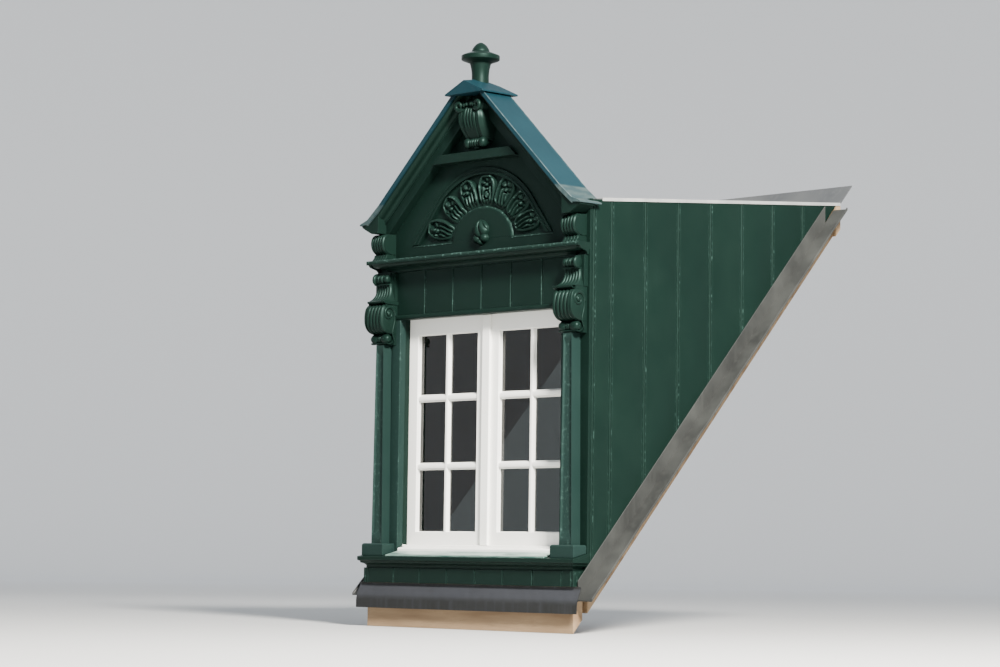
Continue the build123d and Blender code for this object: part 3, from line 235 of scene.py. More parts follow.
@dataclass
class Shape:
    """Points and faces of one piece, gathered surface by surface."""

    points: list[Array] = field(default_factory=list)
    wear: list[Array] = field(default_factory=list)
    quads: list[Array] = field(default_factory=list)
    caps: list[Array] = field(default_factory=list)
    count: int = 0

    def _take(self, net: Array, wear: Array | None) -> Array:
        """Stores a net of points.

        Args:
            net: Array (rows, columns, 3).
            wear: How worn the paint is at each point, 0 to 1, or none.

        Returns:
            The numbers of its points, as a net.
        """
        rows, columns = net.shape[:2]
        self.points.append(net.reshape(-1, 3))
        worn = np.broadcast_to(0.0 if wear is None else wear, (rows, columns))
        self.wear.append(worn.reshape(-1))
        index = self.count + np.arange(rows * columns).reshape(rows, columns)
        self.count += rows * columns
        return index

    def sweep(self, rings: Array, wear: Array | None = None, loop: bool = False) -> None:
        """Solid from closed rings of points: each ring joined to the next, and the ends capped.

        Args:
            rings: Array (stations, points, 3).
            wear: How worn the paint is at each point, 0 to 1.
            loop: True where the last ring joins the first, as on a frame.
        """
        index = self._take(rings, wear)
        index = np.hstack([index, index[:, :1]])
        if loop:
            index = np.vstack([index, index[:1]])
        else:
            self.caps += [index[0, :-1], index[-1, :-1][::-1]]
        self.quads.append(neighbours(index))

    def relief(
        self, net: Array, back: float, wear: Array | None = None, wrap: bool = False
    ) -> None:
        """Carved solid: a net of points for its face, with straight sides to a flat back.

        Args:
            net: Array (rows, columns, 3) of points on the face.
            back: Y of the flat back.
            wear: How worn the paint is at each point, 0 to 1.
            wrap: True where the last row joins the first, as round a boss.
        """
        index = self._take(net, wear)
        if wrap:
            self.quads.append(neighbours(np.vstack([index, index[:1]])))
            edge = index[:, -1]
        else:
            self.quads.append(neighbours(index))
            edge = np.concatenate([index[0], index[1:, -1], index[-1, -2::-1], index[-2:0:-1, 0]])
        rim = np.vstack(self.points)[edge]
        rim[:, 1] = back
        behind = self._take(rim[None, :, :], None)[0]
        sides = np.stack([np.append(edge, edge[0]), np.append(behind, behind[0])])
        self.quads.append(neighbours(sides))
        self.caps.append(behind)

    def tube(self, path: Array, radius: Array | float, across: Point, sides: int = 12) -> None:
        """Round bar along a flat path: circles square to it.

        Args:
            path: Array (points, 3).
            radius: Radius, or one for each point.
            across: Direction square to the path's plane.
            sides: Number of sides.
        """
        run = np.gradient(path, axis=0)
        run /= np.maximum(np.linalg.norm(run, axis=1, keepdims=True), 1e-9)
        up = np.asarray(across, dtype=float)
        normal = np.cross(run, up)[:, None, :]
        angle = np.linspace(0, 2 * pi, sides, endpoint=False)[None, :, None]
        spread = np.broadcast_to(np.asarray(radius, dtype=float), len(path))[:, None, None]
        self.sweep(path[:, None, :] + spread * (np.cos(angle) * normal + np.sin(angle) * up))

    def lathe(self, profile: Array, centre: Point, axis: int, sides: int) -> None:
        """Turned solid: a profile of (radius, height) carried round an axis.

        Args:
            profile: Array (points, 2), from one end to the other.
            centre: Place of the axis and of height 0.
            axis: 0, 1 or 2 for X, Y or Z.
            sides: Number of sides.
        """
        angle = np.linspace(0, 2 * pi, sides, endpoint=False)
        radius, height = profile[:, 0, None], profile[:, 1, None]
        parts = [radius * np.cos(angle), radius * np.sin(angle)]
        parts.insert(axis, height)
        self.sweep(surface(*parts) + np.asarray(centre))

    def beads(self, centre: Point, parts: Beads, count: int, power: float, sides: int) -> None:
        """Turned beads side by side along X.

        Args:
            centre: Middle of their row.
            parts: Place from the middle, half length and radius of each.
            count: Points on a bead's profile.
            power: Power of its roundness.
            sides: Number of sides.
        """
        x, y, z = centre
        for place, half, radius in parts:
            self.lathe(bead(half, radius, count, power), (x + place, y, z), axis=0, sides=sides)

    def block(self, low: Point, high: Point) -> None:
        """Square block between two corners.

        Args:
            low: Its lowest corner.
            high: Its highest corner.
        """
        (x0, y0, z0), (x1, y1, z1) = low, high
        x, y = np.array([(x0, y0), (x1, y0), (x1, y1), (x0, y1)]).T
        self.sweep(surface(x, y, np.array([[z0], [z1]])))

    def make(
        self,
        name: str,
        finish: "Finish",
        replaces: Sequence[str] = (),
        side: Side = Side.RIGHT,
        ease: float = 0.0,
        crease: float = 32.0,
    ) -> bpy.types.Object:
        """Makes the object, with its finish, its body and the nodes that it stands for.

        Args:
            name: Name of the piece.
            finish: Its finish.
            replaces: Nodes of the model that it stands for.
            side: LEFT mirrors the points.
            ease: Width that its sharp edges are rounded by.
            crease: Angle in degrees past which an edge stays sharp.

        Returns:
            The new object.
        """
        points = np.vstack(self.points) * (side.value, 1.0, 1.0)
        quads = np.vstack(self.quads)
        loops = np.concatenate([quads.reshape(-1), *self.caps])
        totals = np.array([4] * len(quads) + [len(cap) for cap in self.caps])
        starts = np.cumsum(totals) - totals
        mesh = bpy.data.meshes.new(name)
        mesh.vertices.add(len(points))
        mesh.vertices.foreach_set("co", points.astype(np.float32).reshape(-1))
        mesh.loops.add(len(loops))
        mesh.loops.foreach_set("vertex_index", loops.astype(np.int32))
        mesh.polygons.add(len(totals))
        mesh.polygons.foreach_set("loop_start", starts.astype(np.int32))
        mesh.polygons.foreach_set("loop_total", totals.astype(np.int32))
        worn = mesh.attributes.new("wear", "FLOAT", "POINT")
        worn.data.foreach_set("value", np.concatenate(self.wear).astype(np.float32))
        mesh.update()
        work = bmesh.new()
        work.from_mesh(mesh)
        return finished(work, mesh, name, finish, replaces, ease, crease)


def finished(
    work: bmesh.types.BMesh,
    mesh: bpy.types.Mesh,
    name: str,
    finish: "Finish",
    replaces: Sequence[str],
    ease: float,
    crease: float,
) -> bpy.types.Object:
    """Closes seams, turns faces outwards and puts a mesh into the scene as a dressed piece.

    Args:
        work: The piece's faces.
        mesh: Mesh that takes them.
        name: Name of the piece.
        finish: Its finish.
        replaces: Nodes of the model that it stands for.
        ease: Width that its sharp edges are rounded by.
        crease: Angle in degrees past which an edge stays sharp.

    Returns:
        The new object.
    """
    bmesh.ops.remove_doubles(work, verts=work.verts, dist=WELD)
    bmesh.ops.dissolve_degenerate(work, edges=work.edges, dist=SLIVER)
    bmesh.ops.recalc_face_normals(work, faces=work.faces)
    work.to_mesh(mesh)
    work.free()
    mesh.shade_smooth()
    mesh.set_sharp_from_angle(angle=radians(crease))
    piece = bpy.data.objects.new(name, mesh)
    bpy.context.scene.collection.objects.link(piece)
    if ease:
        rounding = piece.modifiers.new("eased_edges", "BEVEL")
        rounding.width = ease
        rounding.segments = 2
        rounding.limit_method = "ANGLE"
        rounding.angle_limit = radians(crease)
        rounding.harden_normals = True
    mesh.materials.append(finish.material())
    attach(piece, BODY)
    if replaces:
        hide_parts(*replaces)
    return piece


def eased(node: str, finish: "Finish", ease: float, crease: float = 30.0) -> bpy.types.Object:
    """Copy of a node with its arrises rounded, as planed and painted timber has them.

    Args:
        node: The node.
        finish: Its finish.
        ease: Width of the rounding.
        crease: Angle in degrees past which an edge is rounded.

    Returns:
        The piece that stands for the node.
    """
    work = bmesh.new()
    work.from_mesh(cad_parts[node].data)
    bmesh.ops.remove_doubles(work, verts=work.verts, dist=SOLID_WELD)
    bmesh.ops.dissolve_limit(work, angle_limit=SOLID_FLAT, verts=work.verts, edges=work.edges)
    mesh = bpy.data.meshes.new(f"{node}_eased")
    return finished(work, mesh, f"{node}_eased", finish, (node,), ease, crease)


def dress(nodes: Sequence[str], finish: "Finish") -> None:
    """Gives nodes of the model a finish.

    Args:
        nodes: The nodes.
        finish: Their finish.
    """
    for node in nodes:
        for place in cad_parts[node].material_slots:
            place.material = finish.material()


# Finishes


class Tree:
    """Short way of writing a material's nodes."""

    def __init__(self, name: str) -> None:
        """Starts a material with one surface shader.

        Args:
            name: Name of the material.
        """
        self.material = bpy.data.materials.new(name)
        self.material.use_nodes = True
        self.tree = self.material.node_tree
        self.tree.nodes.clear()
        self.shader = self.add("ShaderNodeBsdfPrincipled")
        output = self.add("ShaderNodeOutputMaterial")
        self.tree.links.new(self.shader.outputs["BSDF"], output.inputs["Surface"])
        self.place = self.add("ShaderNodeTexCoord").outputs["Object"]

    def add(self, kind: str, **settings: object) -> bpy.types.Node:
        """Adds a node.

        Args:
            kind: Its kind.
            **settings: Its properties.

        Returns:
            The node.
        """
        node = self.tree.nodes.new(kind)
        for name, value in settings.items():
            setattr(node, name, value)
        return node

    def put(self, socket: Socket, value: object) -> None:
        """Links a socket, or sets its number or colour.

        Args:
            socket: The input.
            value: Another socket, a number or a colour.
        """
        if isinstance(value, bpy.types.NodeSocket):
            self.tree.links.new(value, socket)
        elif isinstance(value, tuple) and len(value) == 3 and socket.type == "RGBA":
            socket.default_value = (*value, 1.0)
        else:
            socket.default_value = value

    def set(self, **values: object) -> None:
        """Sets or links the shader's own sockets.

        Args:
            **values: Number, colour or socket for each, under its name in lower case.
        """
        for name, value in values.items():
            label = name.replace("_", " ").title().replace("Ior", "IOR")
            self.put(self.shader.inputs[label], value)

    def noise(self, scale: float, stretch: Colour = (1.0, 1.0, 1.0), detail: float = 3.0) -> Socket:
        """Noise on the object's own coordinates.

        Args:
            scale: Its scale.
            stretch: Squeeze along each axis.
            detail: Number of finer layers.

        Returns:
            The noise, 0 to 1.
        """
        mapping = self.add("ShaderNodeMapping")
        mapping.inputs["Scale"].default_value = stretch
        self.put(mapping.inputs["Vector"], self.place)
        node = self.add("ShaderNodeTexNoise")
        self.put(node.inputs["Vector"], mapping.outputs["Vector"])
        node.inputs["Scale"].default_value = scale
        node.inputs["Detail"].default_value = detail
        return node.outputs["Fac"]

    def range(
        self, value: Socket, low: float, high: float, to_low: float = 0.0, to_high: float = 1.0
    ) -> Socket:
        """Value carried from one range to another and held there.

        Args:
            value: The value.
            low: Start of its range.
            high: End of its range.
            to_low: Start of the new range.
            to_high: End of the new range.

        Returns:
            The value in the new range.
        """
        node = self.add("ShaderNodeMapRange")
        ranges = {"From Min": low, "From Max": high, "To Min": to_low, "To Max": to_high}
        for key, number in ranges.items():
            node.inputs[key].default_value = number
        self.put(node.inputs["Value"], value)
        return node.outputs["Result"]

    def math(self, operation: str, first: Socket | float, second: Socket | float) -> Socket:
        """Sum, product or other operation of two values.

        Args:
            operation: Its name.
            first: First value.
            second: Second value.

        Returns:
            The result.
        """
        node = self.add("ShaderNodeMath", operation=operation)
        self.put(node.inputs[0], first)
        self.put(node.inputs[1], second)
        return node.outputs[0]

    def mix(self, share: Socket, first: Socket | Colour, second: Socket | Colour) -> Socket:
        """Colour between two others.

        Args:
            share: Share of the second.
            first: First colour.
            second: Second colour.

        Returns:
            The colour.
        """
        node = self.add("ShaderNodeMix", data_type="RGBA")
        for place, value in (("Factor", share), (6, first), (7, second)):
            self.put(node.inputs[place], value)
        return node.outputs[2]

    def attribute(self, name: str) -> Socket:
        """Number stored on the mesh."""
        return self.add("ShaderNodeAttribute", attribute_name=name).outputs["Fac"]

    def upright(self, vector: Socket) -> Socket:
        """Z of a vector.

        Args:
            vector: The vector.

        Returns:
            Its Z.
        """
        split = self.add("ShaderNodeSeparateXYZ")
        self.put(split.inputs[0], vector)
        return split.outputs["Z"]

    def facing_up(self) -> Socket:
        """How far the surface faces up, -1 to 1."""
        return self.upright(self.add("ShaderNodeNewGeometry").outputs["Normal"])

    def height(self) -> Socket:
        """Height on the piece."""
        return self.upright(self.place)

    def relief(self, value: Socket, distance: float, strength: float) -> None:
        """Bump from a value.

        Args:
            value: The value.
            distance: Its depth.
            strength: Share of it that shows.
        """
        node = self.add("ShaderNodeBump")
        node.inputs["Strength"].default_value = strength
        node.inputs["Distance"].default_value = distance
        self.put(node.inputs["Height"], value)
        self.put(self.shader.inputs["Normal"], node.outputs["Normal"])


@dataclass(frozen=True)
class Finish:
    """A finish: its slot name, colour and roughness. Subclasses draw its detail."""

    name: str
    slot: str
    colour: Colour
    roughness: float = 0.4

    def material(self) -> bpy.types.Material:
        """The finish's material, made once.

        Returns:
            The material.
        """
        made = bpy.data.materials.get(self.name)
        if made is not None and made.get("dormer"):
            return made
        tree = Tree(self.name)
        self.draw(tree)
        tree.material["dormer"] = True
        return tree.material

    def draw(self, tree: Tree) -> None:
        """Draws the plain colour."""
        tree.set(base_color=self.colour, roughness=self.roughness)


@dataclass(frozen=True)
class GlossPaint(Finish):
    """Brushed oil paint: cloudy tone, brush marks, dust and a painted sky sheen on up-facing faces,
    and pale specks of wear.
    """

    faded: Colour = (0.1, 0.1, 0.1)
    wear_dust_and_sheen: Colour = (0.4, 0.45, 0.4)
    brush: Colour = (1.0, 1.0, 0.06)
    dust_and_sheen: float = 0.5
    shine: float = 0.5
    sheen: Colour = (1.0, 1.0, 1.0)

    def draw(self, tree: Tree) -> None:
        """Mixes faded paint by clouds, dust and a painted sky sheen by how far a face looks up, and
        specks by wear.

        Args:
            tree: The material's nodes.
        """
        clouds = tree.range(tree.noise(2.2, detail=5.0), 0.35, 0.7)
        streaks = tree.noise(95.0, self.brush, 4.0)
        tone = tree.math("MULTIPLY", clouds, tree.range(streaks, 0.3, 0.7, 0.5, 1.0))
        painted = tree.mix(tone, self.colour, self.faded)
        # Painted sky sheen: faces that look up are mixed towards the pale tone, as dust and as
        # light from the sky.
        facing_sky = tree.range(tree.facing_up(), 0.55, 1.0)
        patches = tree.range(tree.noise(9.0, detail=6.0), 0.35, 0.75, 0.25, 1.0)
        dust_and_sheen_mask = tree.math("MULTIPLY", tree.math("MULTIPLY", facing_sky, patches), self.dust_and_sheen)
        painted = tree.mix(dust_and_sheen_mask, painted, self.wear_dust_and_sheen)
        fine = tree.range(tree.noise(240.0, detail=4.0), 0.40, 0.75, 0.0, 0.45)
        coarse = tree.range(tree.noise(58.0, detail=3.0), 0.55, 0.68, 0.0, 1.3)
        specks = tree.math("MAXIMUM", fine, coarse)
        worn = tree.math("MULTIPLY", specks, tree.attribute("wear"))
        smooth, rough = self.roughness * 0.88, self.roughness * 1.15
        rough = tree.range(tree.noise(9.0, detail=2.0), 0.3, 0.7, smooth, rough)
        rough = tree.math("ADD", rough, tree.math("MULTIPLY", dust_and_sheen_mask, 0.3))
        tree.set(base_color=tree.mix(worn, painted, self.wear_dust_and_sheen), roughness=rough)
        tree.set(specular_ior_level=self.shine, specular_tint=self.sheen)
        tree.relief(streaks, 0.0004, 0.25)


@dataclass(frozen=True)
class SheetMetal(Finish):
    """Weathered sheet: blotches, pale streaks that run down it, dents, a worn coat, and pale bloom
    with a painted sky reflection on up-facing faces.
    """

    pale: Colour = (0.6, 0.6, 0.6)
    metal: float = 0.3
    blotch: float = 4.0
    dent: float = 0.002
    bloom_and_sheen: float = 0.0
    shine: float = 0.5
    knee: float = 0.0
    worn: Colour = (0.1, 0.1, 0.1)

    def draw(self, tree: Tree) -> None:
        """Mixes pale bloom by blotches, streaks and how far a face looks up.

        Mixes the pale tone by blotches, streaks and how far a face looks up; on up-facing faces it
        is bloom and a painted sky reflection.

        Args:
            tree: The material's nodes.
        """
        blotches = tree.range(tree.noise(self.blotch, detail=7.0), 0.38, 0.72)
        streaks = tree.range(tree.noise(30.0, (1.0, 1.0, 0.05), 3.0), 0.45, 0.75, 0.0, 0.6)
        share = tree.math("MAXIMUM", tree.math("MULTIPLY", blotches, 1.0 - self.bloom_and_sheen), streaks)
        # Painted sky reflection: up-facing faces turn pale together with the bloom.
        facing_sky = tree.range(tree.facing_up(), 0.08, 0.40, 0.0, self.bloom_and_sheen)
        share = tree.math("MAXIMUM", share, facing_sky)
        coat = tree.mix(share, self.colour, self.pale)
        if self.knee:
            under = tree.range(tree.height(), self.knee - 0.004, self.knee + 0.004, 1.0, 0.0)
            rubbed = tree.range(tree.noise(26.0, (1.0, 0.35, 1.0), 5.0), 0.40, 0.62, 0.45, 1.0)
            coat = tree.mix(tree.math("MULTIPLY", under, rubbed), coat, self.worn)
        rough = tree.range(blotches, 0.0, 1.0, self.roughness, min(1.0, self.roughness + 0.22))
        tree.set(base_color=coat, metallic=self.metal, roughness=rough)
        tree.set(specular_ior_level=self.shine)
        tree.relief(tree.noise(6.0, detail=2.0), self.dent, 0.5)


@dataclass(frozen=True)
class Timber(Finish):
    """Sawn or planed wood: rings stretched along the grain, with darker fibres."""

    dark: Colour = (0.2, 0.1, 0.05)
    grain: Colour = (0.12, 1.0, 1.0)

    def draw(self, tree: Tree) -> None:
        """Mixes dark fibres by stretched noise and bumps them.

        Args:
            tree: The material's nodes.
        """
        rings = tree.range(tree.noise(14.0, self.grain, 8.0), 0.35, 0.68)
        fibres = tree.range(tree.noise(160.0, self.grain, 3.0), 0.3, 0.75, 0.0, 0.5)
        share = tree.math("MAXIMUM", rings, fibres)
        tree.set(base_color=tree.mix(share, self.colour, self.dark), roughness=self.roughness)
        tree.relief(fibres, 0.0008, 0.5)


@dataclass(frozen=True)
class WeatheredBoard(Finish):
    """Pale paint gone patchy over an older coat."""

    under: Colour = (0.3, 0.4, 0.35)
    edge: float = 0.3145

    def draw(self, tree: Tree) -> None:
        """Shows the older coat in ragged patches that run along the board.

        Args:
            tree: The material's nodes.
        """
        patches = tree.range(tree.noise(7.0, (0.4, 1.0, 1.0), 8.0), 0.47, 0.64)
        below = tree.range(tree.height(), self.edge, self.edge + 0.006, 1.0, 0.0)
        patches = tree.math("MAXIMUM", patches, below)
        grains = tree.noise(120.0, (0.08, 1.0, 1.0), 3.0)
        share = tree.math("MULTIPLY", patches, tree.range(grains, 0.3, 0.6, 0.5, 1.0))
        tree.set(base_color=tree.mix(share, self.colour, self.under), roughness=self.roughness)
        tree.relief(tree.math("ADD", patches, tree.math("MULTIPLY", grains, 0.3)), 0.0006, 0.6)


@dataclass(frozen=True)
class WindowGlass(Finish):
    """Clear glass tinted dark as painted shade of an unlit room behind it, with a faint film of
    dust.
    """

    def draw(self, tree: Tree) -> None:
        """Sets the glass, its dark tint of painted shade, and lets a faint film vary its roughness.

        Args:
            tree: The material's nodes.
        """
        tree.set(base_color=self.colour, transmission_weight=1.0)
        tree.set(ior=1.52, specular_ior_level=0.22)
        least = self.roughness
        tree.set(roughness=tree.range(tree.noise(3.0, detail=6.0), 0.45, 0.8, least, least + 0.05))
        tree.relief(tree.noise(1.6, detail=1.0), 0.002, 0.15)


@dataclass(frozen=True)
class Paper(Finish):
    """Plain studio paper, a little paler far from the object."""

    far: Colour = (0.86, 0.87, 0.88)

    def draw(self, tree: Tree) -> None:
        """Mixes the two tones by the distance from the object.

        Args:
            tree: The material's nodes.
        """
        distance = tree.add("ShaderNodeVectorMath", operation="LENGTH")
        tree.put(distance.inputs[0], tree.place)
        share = tree.range(distance.outputs["Value"], 5.0, 22.0)
        tree.set(base_color=tree.mix(share, self.colour, self.far), roughness=self.roughness)


# Up-facing faces of these paints are lightened: dust, and a painted sky sheen.
GREEN = GlossPaint(
    "bottle_green_paint", "green_paint", (0.0030, 0.0088, 0.0066), 0.42, dust_and_sheen=0.12, shine=0.14,
    faded=(0.0042, 0.0118, 0.0088), wear_dust_and_sheen=(0.040, 0.080, 0.068), sheen=(0.55, 0.89, 0.80),
)
# Lighter copy of the green for the shaft, base block and jamb board: painted light for the sun that
# these faces catch.
PAINTED_LIT_GREEN = GlossPaint(
    "painted_lit_green_paint", "green_paint", (0.0078, 0.0190, 0.0165), 0.46, dust_and_sheen=0.12, shine=0.12,
    faded=(0.0105, 0.0235, 0.0205), wear_dust_and_sheen=(0.050, 0.092, 0.080), sheen=(0.60, 0.89, 0.80),
)
WHITE = GlossPaint(
    "white_paint", "white_paint", (0.93, 0.93, 0.89), 0.32, dust_and_sheen=0.18, shine=0.4,
    faded=(0.89, 0.885, 0.83), wear_dust_and_sheen=(0.60, 0.57, 0.48),
)
SHEET = SheetMetal(
    "green_roof_sheet", "green_metal", (0.0028, 0.0180, 0.0245), 0.46, metal=0.0, blotch=2.5,
    pale=(0.0052, 0.0245, 0.0330), dent=0.0035, shine=0.16, knee=2.199, worn=(0.042, 0.062, 0.061),
)
# Paler copy of the sheet's green, with pale specks, for its folded edges: a painted highlight of
# the edges catching the sky.
EDGE_HIGHLIGHT_GREEN = SheetMetal(
    "folded_edge_painted_highlight", "green_metal", (0.020, 0.040, 0.044), 0.38, metal=0.0, blotch=30.0,
    pale=(0.085, 0.12, 0.12), dent=0.0005,
)
# Up-facing lead is pale: oxide bloom and a painted sky reflection.
LEAD = SheetMetal(
    "dull_lead", "lead", (0.0095, 0.0100, 0.0095), 0.60, metal=0.0, blotch=6.0,
    pale=(0.0290, 0.0310, 0.0370), dent=0.002, bloom_and_sheen=0.8, shine=0.25,
)
FLASHING = SheetMetal(
    "pale_lead", "lead", (0.019, 0.020, 0.019), 0.55, metal=0.0, blotch=5.0,
    pale=(0.038, 0.040, 0.037), dent=0.004, shine=0.3,
)
COVERING = SheetMetal(
    "roof_sheet", "roof_metal", (0.050, 0.053, 0.056), 0.50, metal=0.2, blotch=2.0,
    pale=(0.10, 0.105, 0.105), dent=0.004,
)
TRIM = SheetMetal(
    "edge_trim", "trim_metal", (0.34, 0.35, 0.34), 0.40, metal=0.4, blotch=9.0,
    pale=(0.44, 0.44, 0.42), dent=0.001,
)
SOFTWOOD = Timber(
    "sawn_softwood", "bare_timber", (0.30, 0.205, 0.115), 0.75, dark=(0.165, 0.100, 0.050)
)
LININGS = Timber(
    "varnished_lining", "inner_paint", (0.16, 0.085, 0.042), 0.42, dark=(0.075, 0.036, 0.017),
    grain=(1.0, 0.1, 1.0),
)
SILL_BOARD = WeatheredBoard(
    "weathered_sill_board", "pale_paint", (0.34, 0.45, 0.39), 0.42, under=(0.035, 0.100, 0.080)
)
# Dark glass tint: painted shade standing in for the unlit room behind the panes.
SHADE_TINTED_PANE = WindowGlass("window_glass_painted_shade", "pane", (0.048, 0.056, 0.053), 0.01)
PAPER = Paper("studio_floor", "", (0.50, 0.50, 0.49), 0.85)


# Boarding


@dataclass(frozen=True)
class Boarding:
    """Upright boards side by side, with eased long edges and a bead where wanted."""

    joints: tuple[float, ...]
    face: float
    thickness: float
    gap: float = 0.0022
    arris: float = 0.0025
    bead: float = 0.0
    bead_start: float = 0.003
    quirk: float = 0.0035
    fade: float = 0.004

    def section(self, low: float, high: float) -> tuple[Array, Array]:
        """One board's section, with the wear at each of its points.

        Args:
            low: Start of the board along the wall.
            high: End of the board along the wall.

        Returns:
            Points (along, out) of its closed ring, and the wear at each.
        """
        start, end, out, c = low + self.gap, high - self.gap, self.face, self.arris
        rear = out - self.thickness
        ring = [(start, rear, 0.0), (start, out - c, 0.6), (start + c, out, 0.9)]
        first = start + c + self.fade
        if self.bead:
            radius = self.bead / 2
            middle, depth = start + self.bead_start + radius, radius * 0.85
            ring = [(start, rear, 0.0), (start, out - radius * 0.9, 0.1)]
            ring += [
                (middle + radius * cos(a), out - depth + depth * sin(a), 0.10)
                for a in np.linspace(pi, 0, 9)
            ]
            first = middle + radius + self.quirk
            ring += [(first - 0.0025, out - radius * 1.1, 0.0), (first, out - 0.001, 0.55)]
            first += self.fade
        ring += [(first, out, 0.0), (end - c - self.fade, out, 0.0)]
        ring += [(end - c, out, 0.5), (end, out - c, 0.3), (end, rear, 0.0)]
        made = np.array(ring)
        return made[:, :2], made[:, 2]

    def add(self, shape: Shape, low: Edge, high: Edge, place: Callable[..., Array]) -> None:
        """Adds every board to a shape.

        Args:
            shape: Shape that takes the boards.
            low: Height of the boards' foot, or a function of the place along the wall.
            high: Height of their head, likewise.
            place: Turns (along, out, height) into points in the frame.
        """
        for start, end in zip(self.joints[:-1], self.joints[1:]):
            ring, worn = self.section(start, end)
            along, out = ring.T
            rows = [
                place(along, out, edge(along) if callable(edge) else edge) for edge in (low, high)
            ]
            shape.sweep(np.stack(rows), worn[None, :])


def on_front(along: Array, out: Array, height: Array | float) -> Array:
    """Points on a wall that faces the front."""
    return surface(along, -out, height)


def on_cheek(along: Array, out: Array, height: Array | float) -> Array:
    """Points on the right cheek."""
    return surface(out, along, height)


# Sub-assemblies


@dataclass(frozen=True)
class Structure:
    """Timber frame, linings and deck."""

    timbers: tuple[str, ...] = (
        "curb_front", "sill_beam", "rear_header", "head_frame", "roof_deck",
        "cheek_frame_left", "cheek_frame_right",
    )
    linings: tuple[str, ...] = (
        "ceiling_lining", "head_lining", "window_board", "cheek_lining_left",
        "cheek_lining_right",
    )

    def build(self) -> None:
        """Dresses the hidden timbers and the linings."""
        dress(self.timbers, SOFTWOOD)
        dress(self.linings, LININGS)


@dataclass(frozen=True)
class LeadWork:
    """Lead apron at the foot and flashings along the cheeks.

    apron_line is the apron's outer face (out, height). flat and upturn are the two sections of a
    flashing (x, level over the seat): the flat with its rolled edge, and the upstand.
    """

    half_width: float = 0.833
    sheet: float = 0.004
    apron_top: float = 0.164
    apron_line: Line = (
        (0.069, 0.164), (0.069, 0.151), (0.081, 0.123), (0.088, 0.107), (0.0935, 0.0925),
        (0.0968, 0.078), (0.098, 0.064), (0.098, 0.045), (0.098, 0.029),
    )
    dent: float = 0.0009
    dent_on_flat: float = 0.0011
    apron_sink: float = 0.0008
    flat: Line = (
        (0.806, 0.109), (0.806, 0.113), (0.836, 0.113), (0.894, 0.113), (0.898, 0.119),
        (0.905, 0.119), (0.906, 0.116), (0.906, 0.109), (0.836, 0.109),
    )
    upturn: Line = (
        (0.8063, 0.109), (0.810, 0.109), (0.810, 0.149), (0.810, 0.179), (0.809, 0.180),
        (0.8063, 0.180),
    )
    upturn_under: float = 0.008
    upturn_short: float = 0.002

    @staticmethod
    def dents(along: Array, across: Array, depth: float) -> Array:
        """Slow unevenness of dressed lead: a sum of three crossed waves.

        Args:
            along: Places along the sheet.
            across: Places across it.
            depth: Depth of the longest wave.

        Returns:
            Height of the waves at each place.
        """
        waves = np.sin(17.0 * along + 3.0 * across)
        waves = waves + 0.6 * np.sin(41.0 * along - 19.0 * across + 1.1)
        return depth * (waves + 0.4 * np.sin(83.0 * along + 37.0 * across))

    def apron(self) -> None:
        """Lead apron: its section carried along X, with slow dents and a soft bend."""
        outer = flowing(self.apron_line, 60)
        inner = outer - outward(outer) * self.sheet * 0.8
        face, height = np.vstack([outer, inner[::-1]]).T
        x = np.linspace(-self.half_width, self.half_width, 140)[:, None]
        free = step(self.apron_top - height, 0.01, 0.05)
        face = face - self.dents(x, height, self.dent) * free - self.apron_sink
        shape = Shape()
        shape.sweep(surface(x, -face, height))
        shape.make("lead_apron", LEAD, ("apron_flashing",))

    def flashing(self, side: Side) -> None:
        """Side flashing: an upstand, a flat and a rolled edge, carried up the slope.

        Args:
            side: Side of the dormer.
        """
        (_, front, _), (_, back, _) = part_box(side.node("side_flashing"))
        under = PLANES.roof(0.0, max(level for _, level in self.upturn))
        rise = PLANES.flat_front - self.upturn_under - under
        end = rise / (tan(PLANES.roof_pitch) - tan(PLANES.flat_fall)) - self.upturn_short
        shape = Shape()
        for ring, last, depth in (
            (self.flat, back, self.dent_on_flat), (self.upturn, end, 0.0),
        ):
            x, level = np.array(ring).T
            y = np.linspace(front, last, 120)[:, None]
            shape.sweep(surface(x, y, PLANES.roof(y, level + self.dents(y, x, depth))))
        replaced = (side.node("side_flashing"),)
        shape.make(side.node("lead_side_flashing"), FLASHING, replaced, side)

    def build(self) -> None:
        """Builds the apron and both flashings."""
        self.apron()
        for side in Side:
            self.flashing(side)


@dataclass(frozen=True)
class Apron:
    """Boarded apron under the sill, and the sill."""

    joints: tuple[float, ...] = (
        -0.778, -0.755, -0.553, -0.347, -0.137, 0.076, 0.284, 0.500, 0.710, 0.778,
    )
    foot: float = 0.165
    head: float = 0.243
    face: float = 0.083
    half_width: float = 0.796
    board: float = 0.018
    end_gap: float = 0.0004

    def build(self) -> None:
        """Builds the boards with their returns, and eases the sill."""
        shape = Shape()
        Boarding(self.joints, self.face, self.board).add(shape, self.foot, self.head, on_front)
        inner, outer = self.half_width - self.board, self.half_width
        for ends in ((-outer, -inner), (inner, outer)):
            edge = Boarding(ends, self.face, self.face, gap=self.end_gap)
            edge.add(shape, self.foot, self.head, on_front)
        shape.make("apron_board_row", GREEN, ("apron_boards",))
        eased("sill", GREEN, ease=0.0025)
        eased("sill_board", SILL_BOARD, ease=0.002)


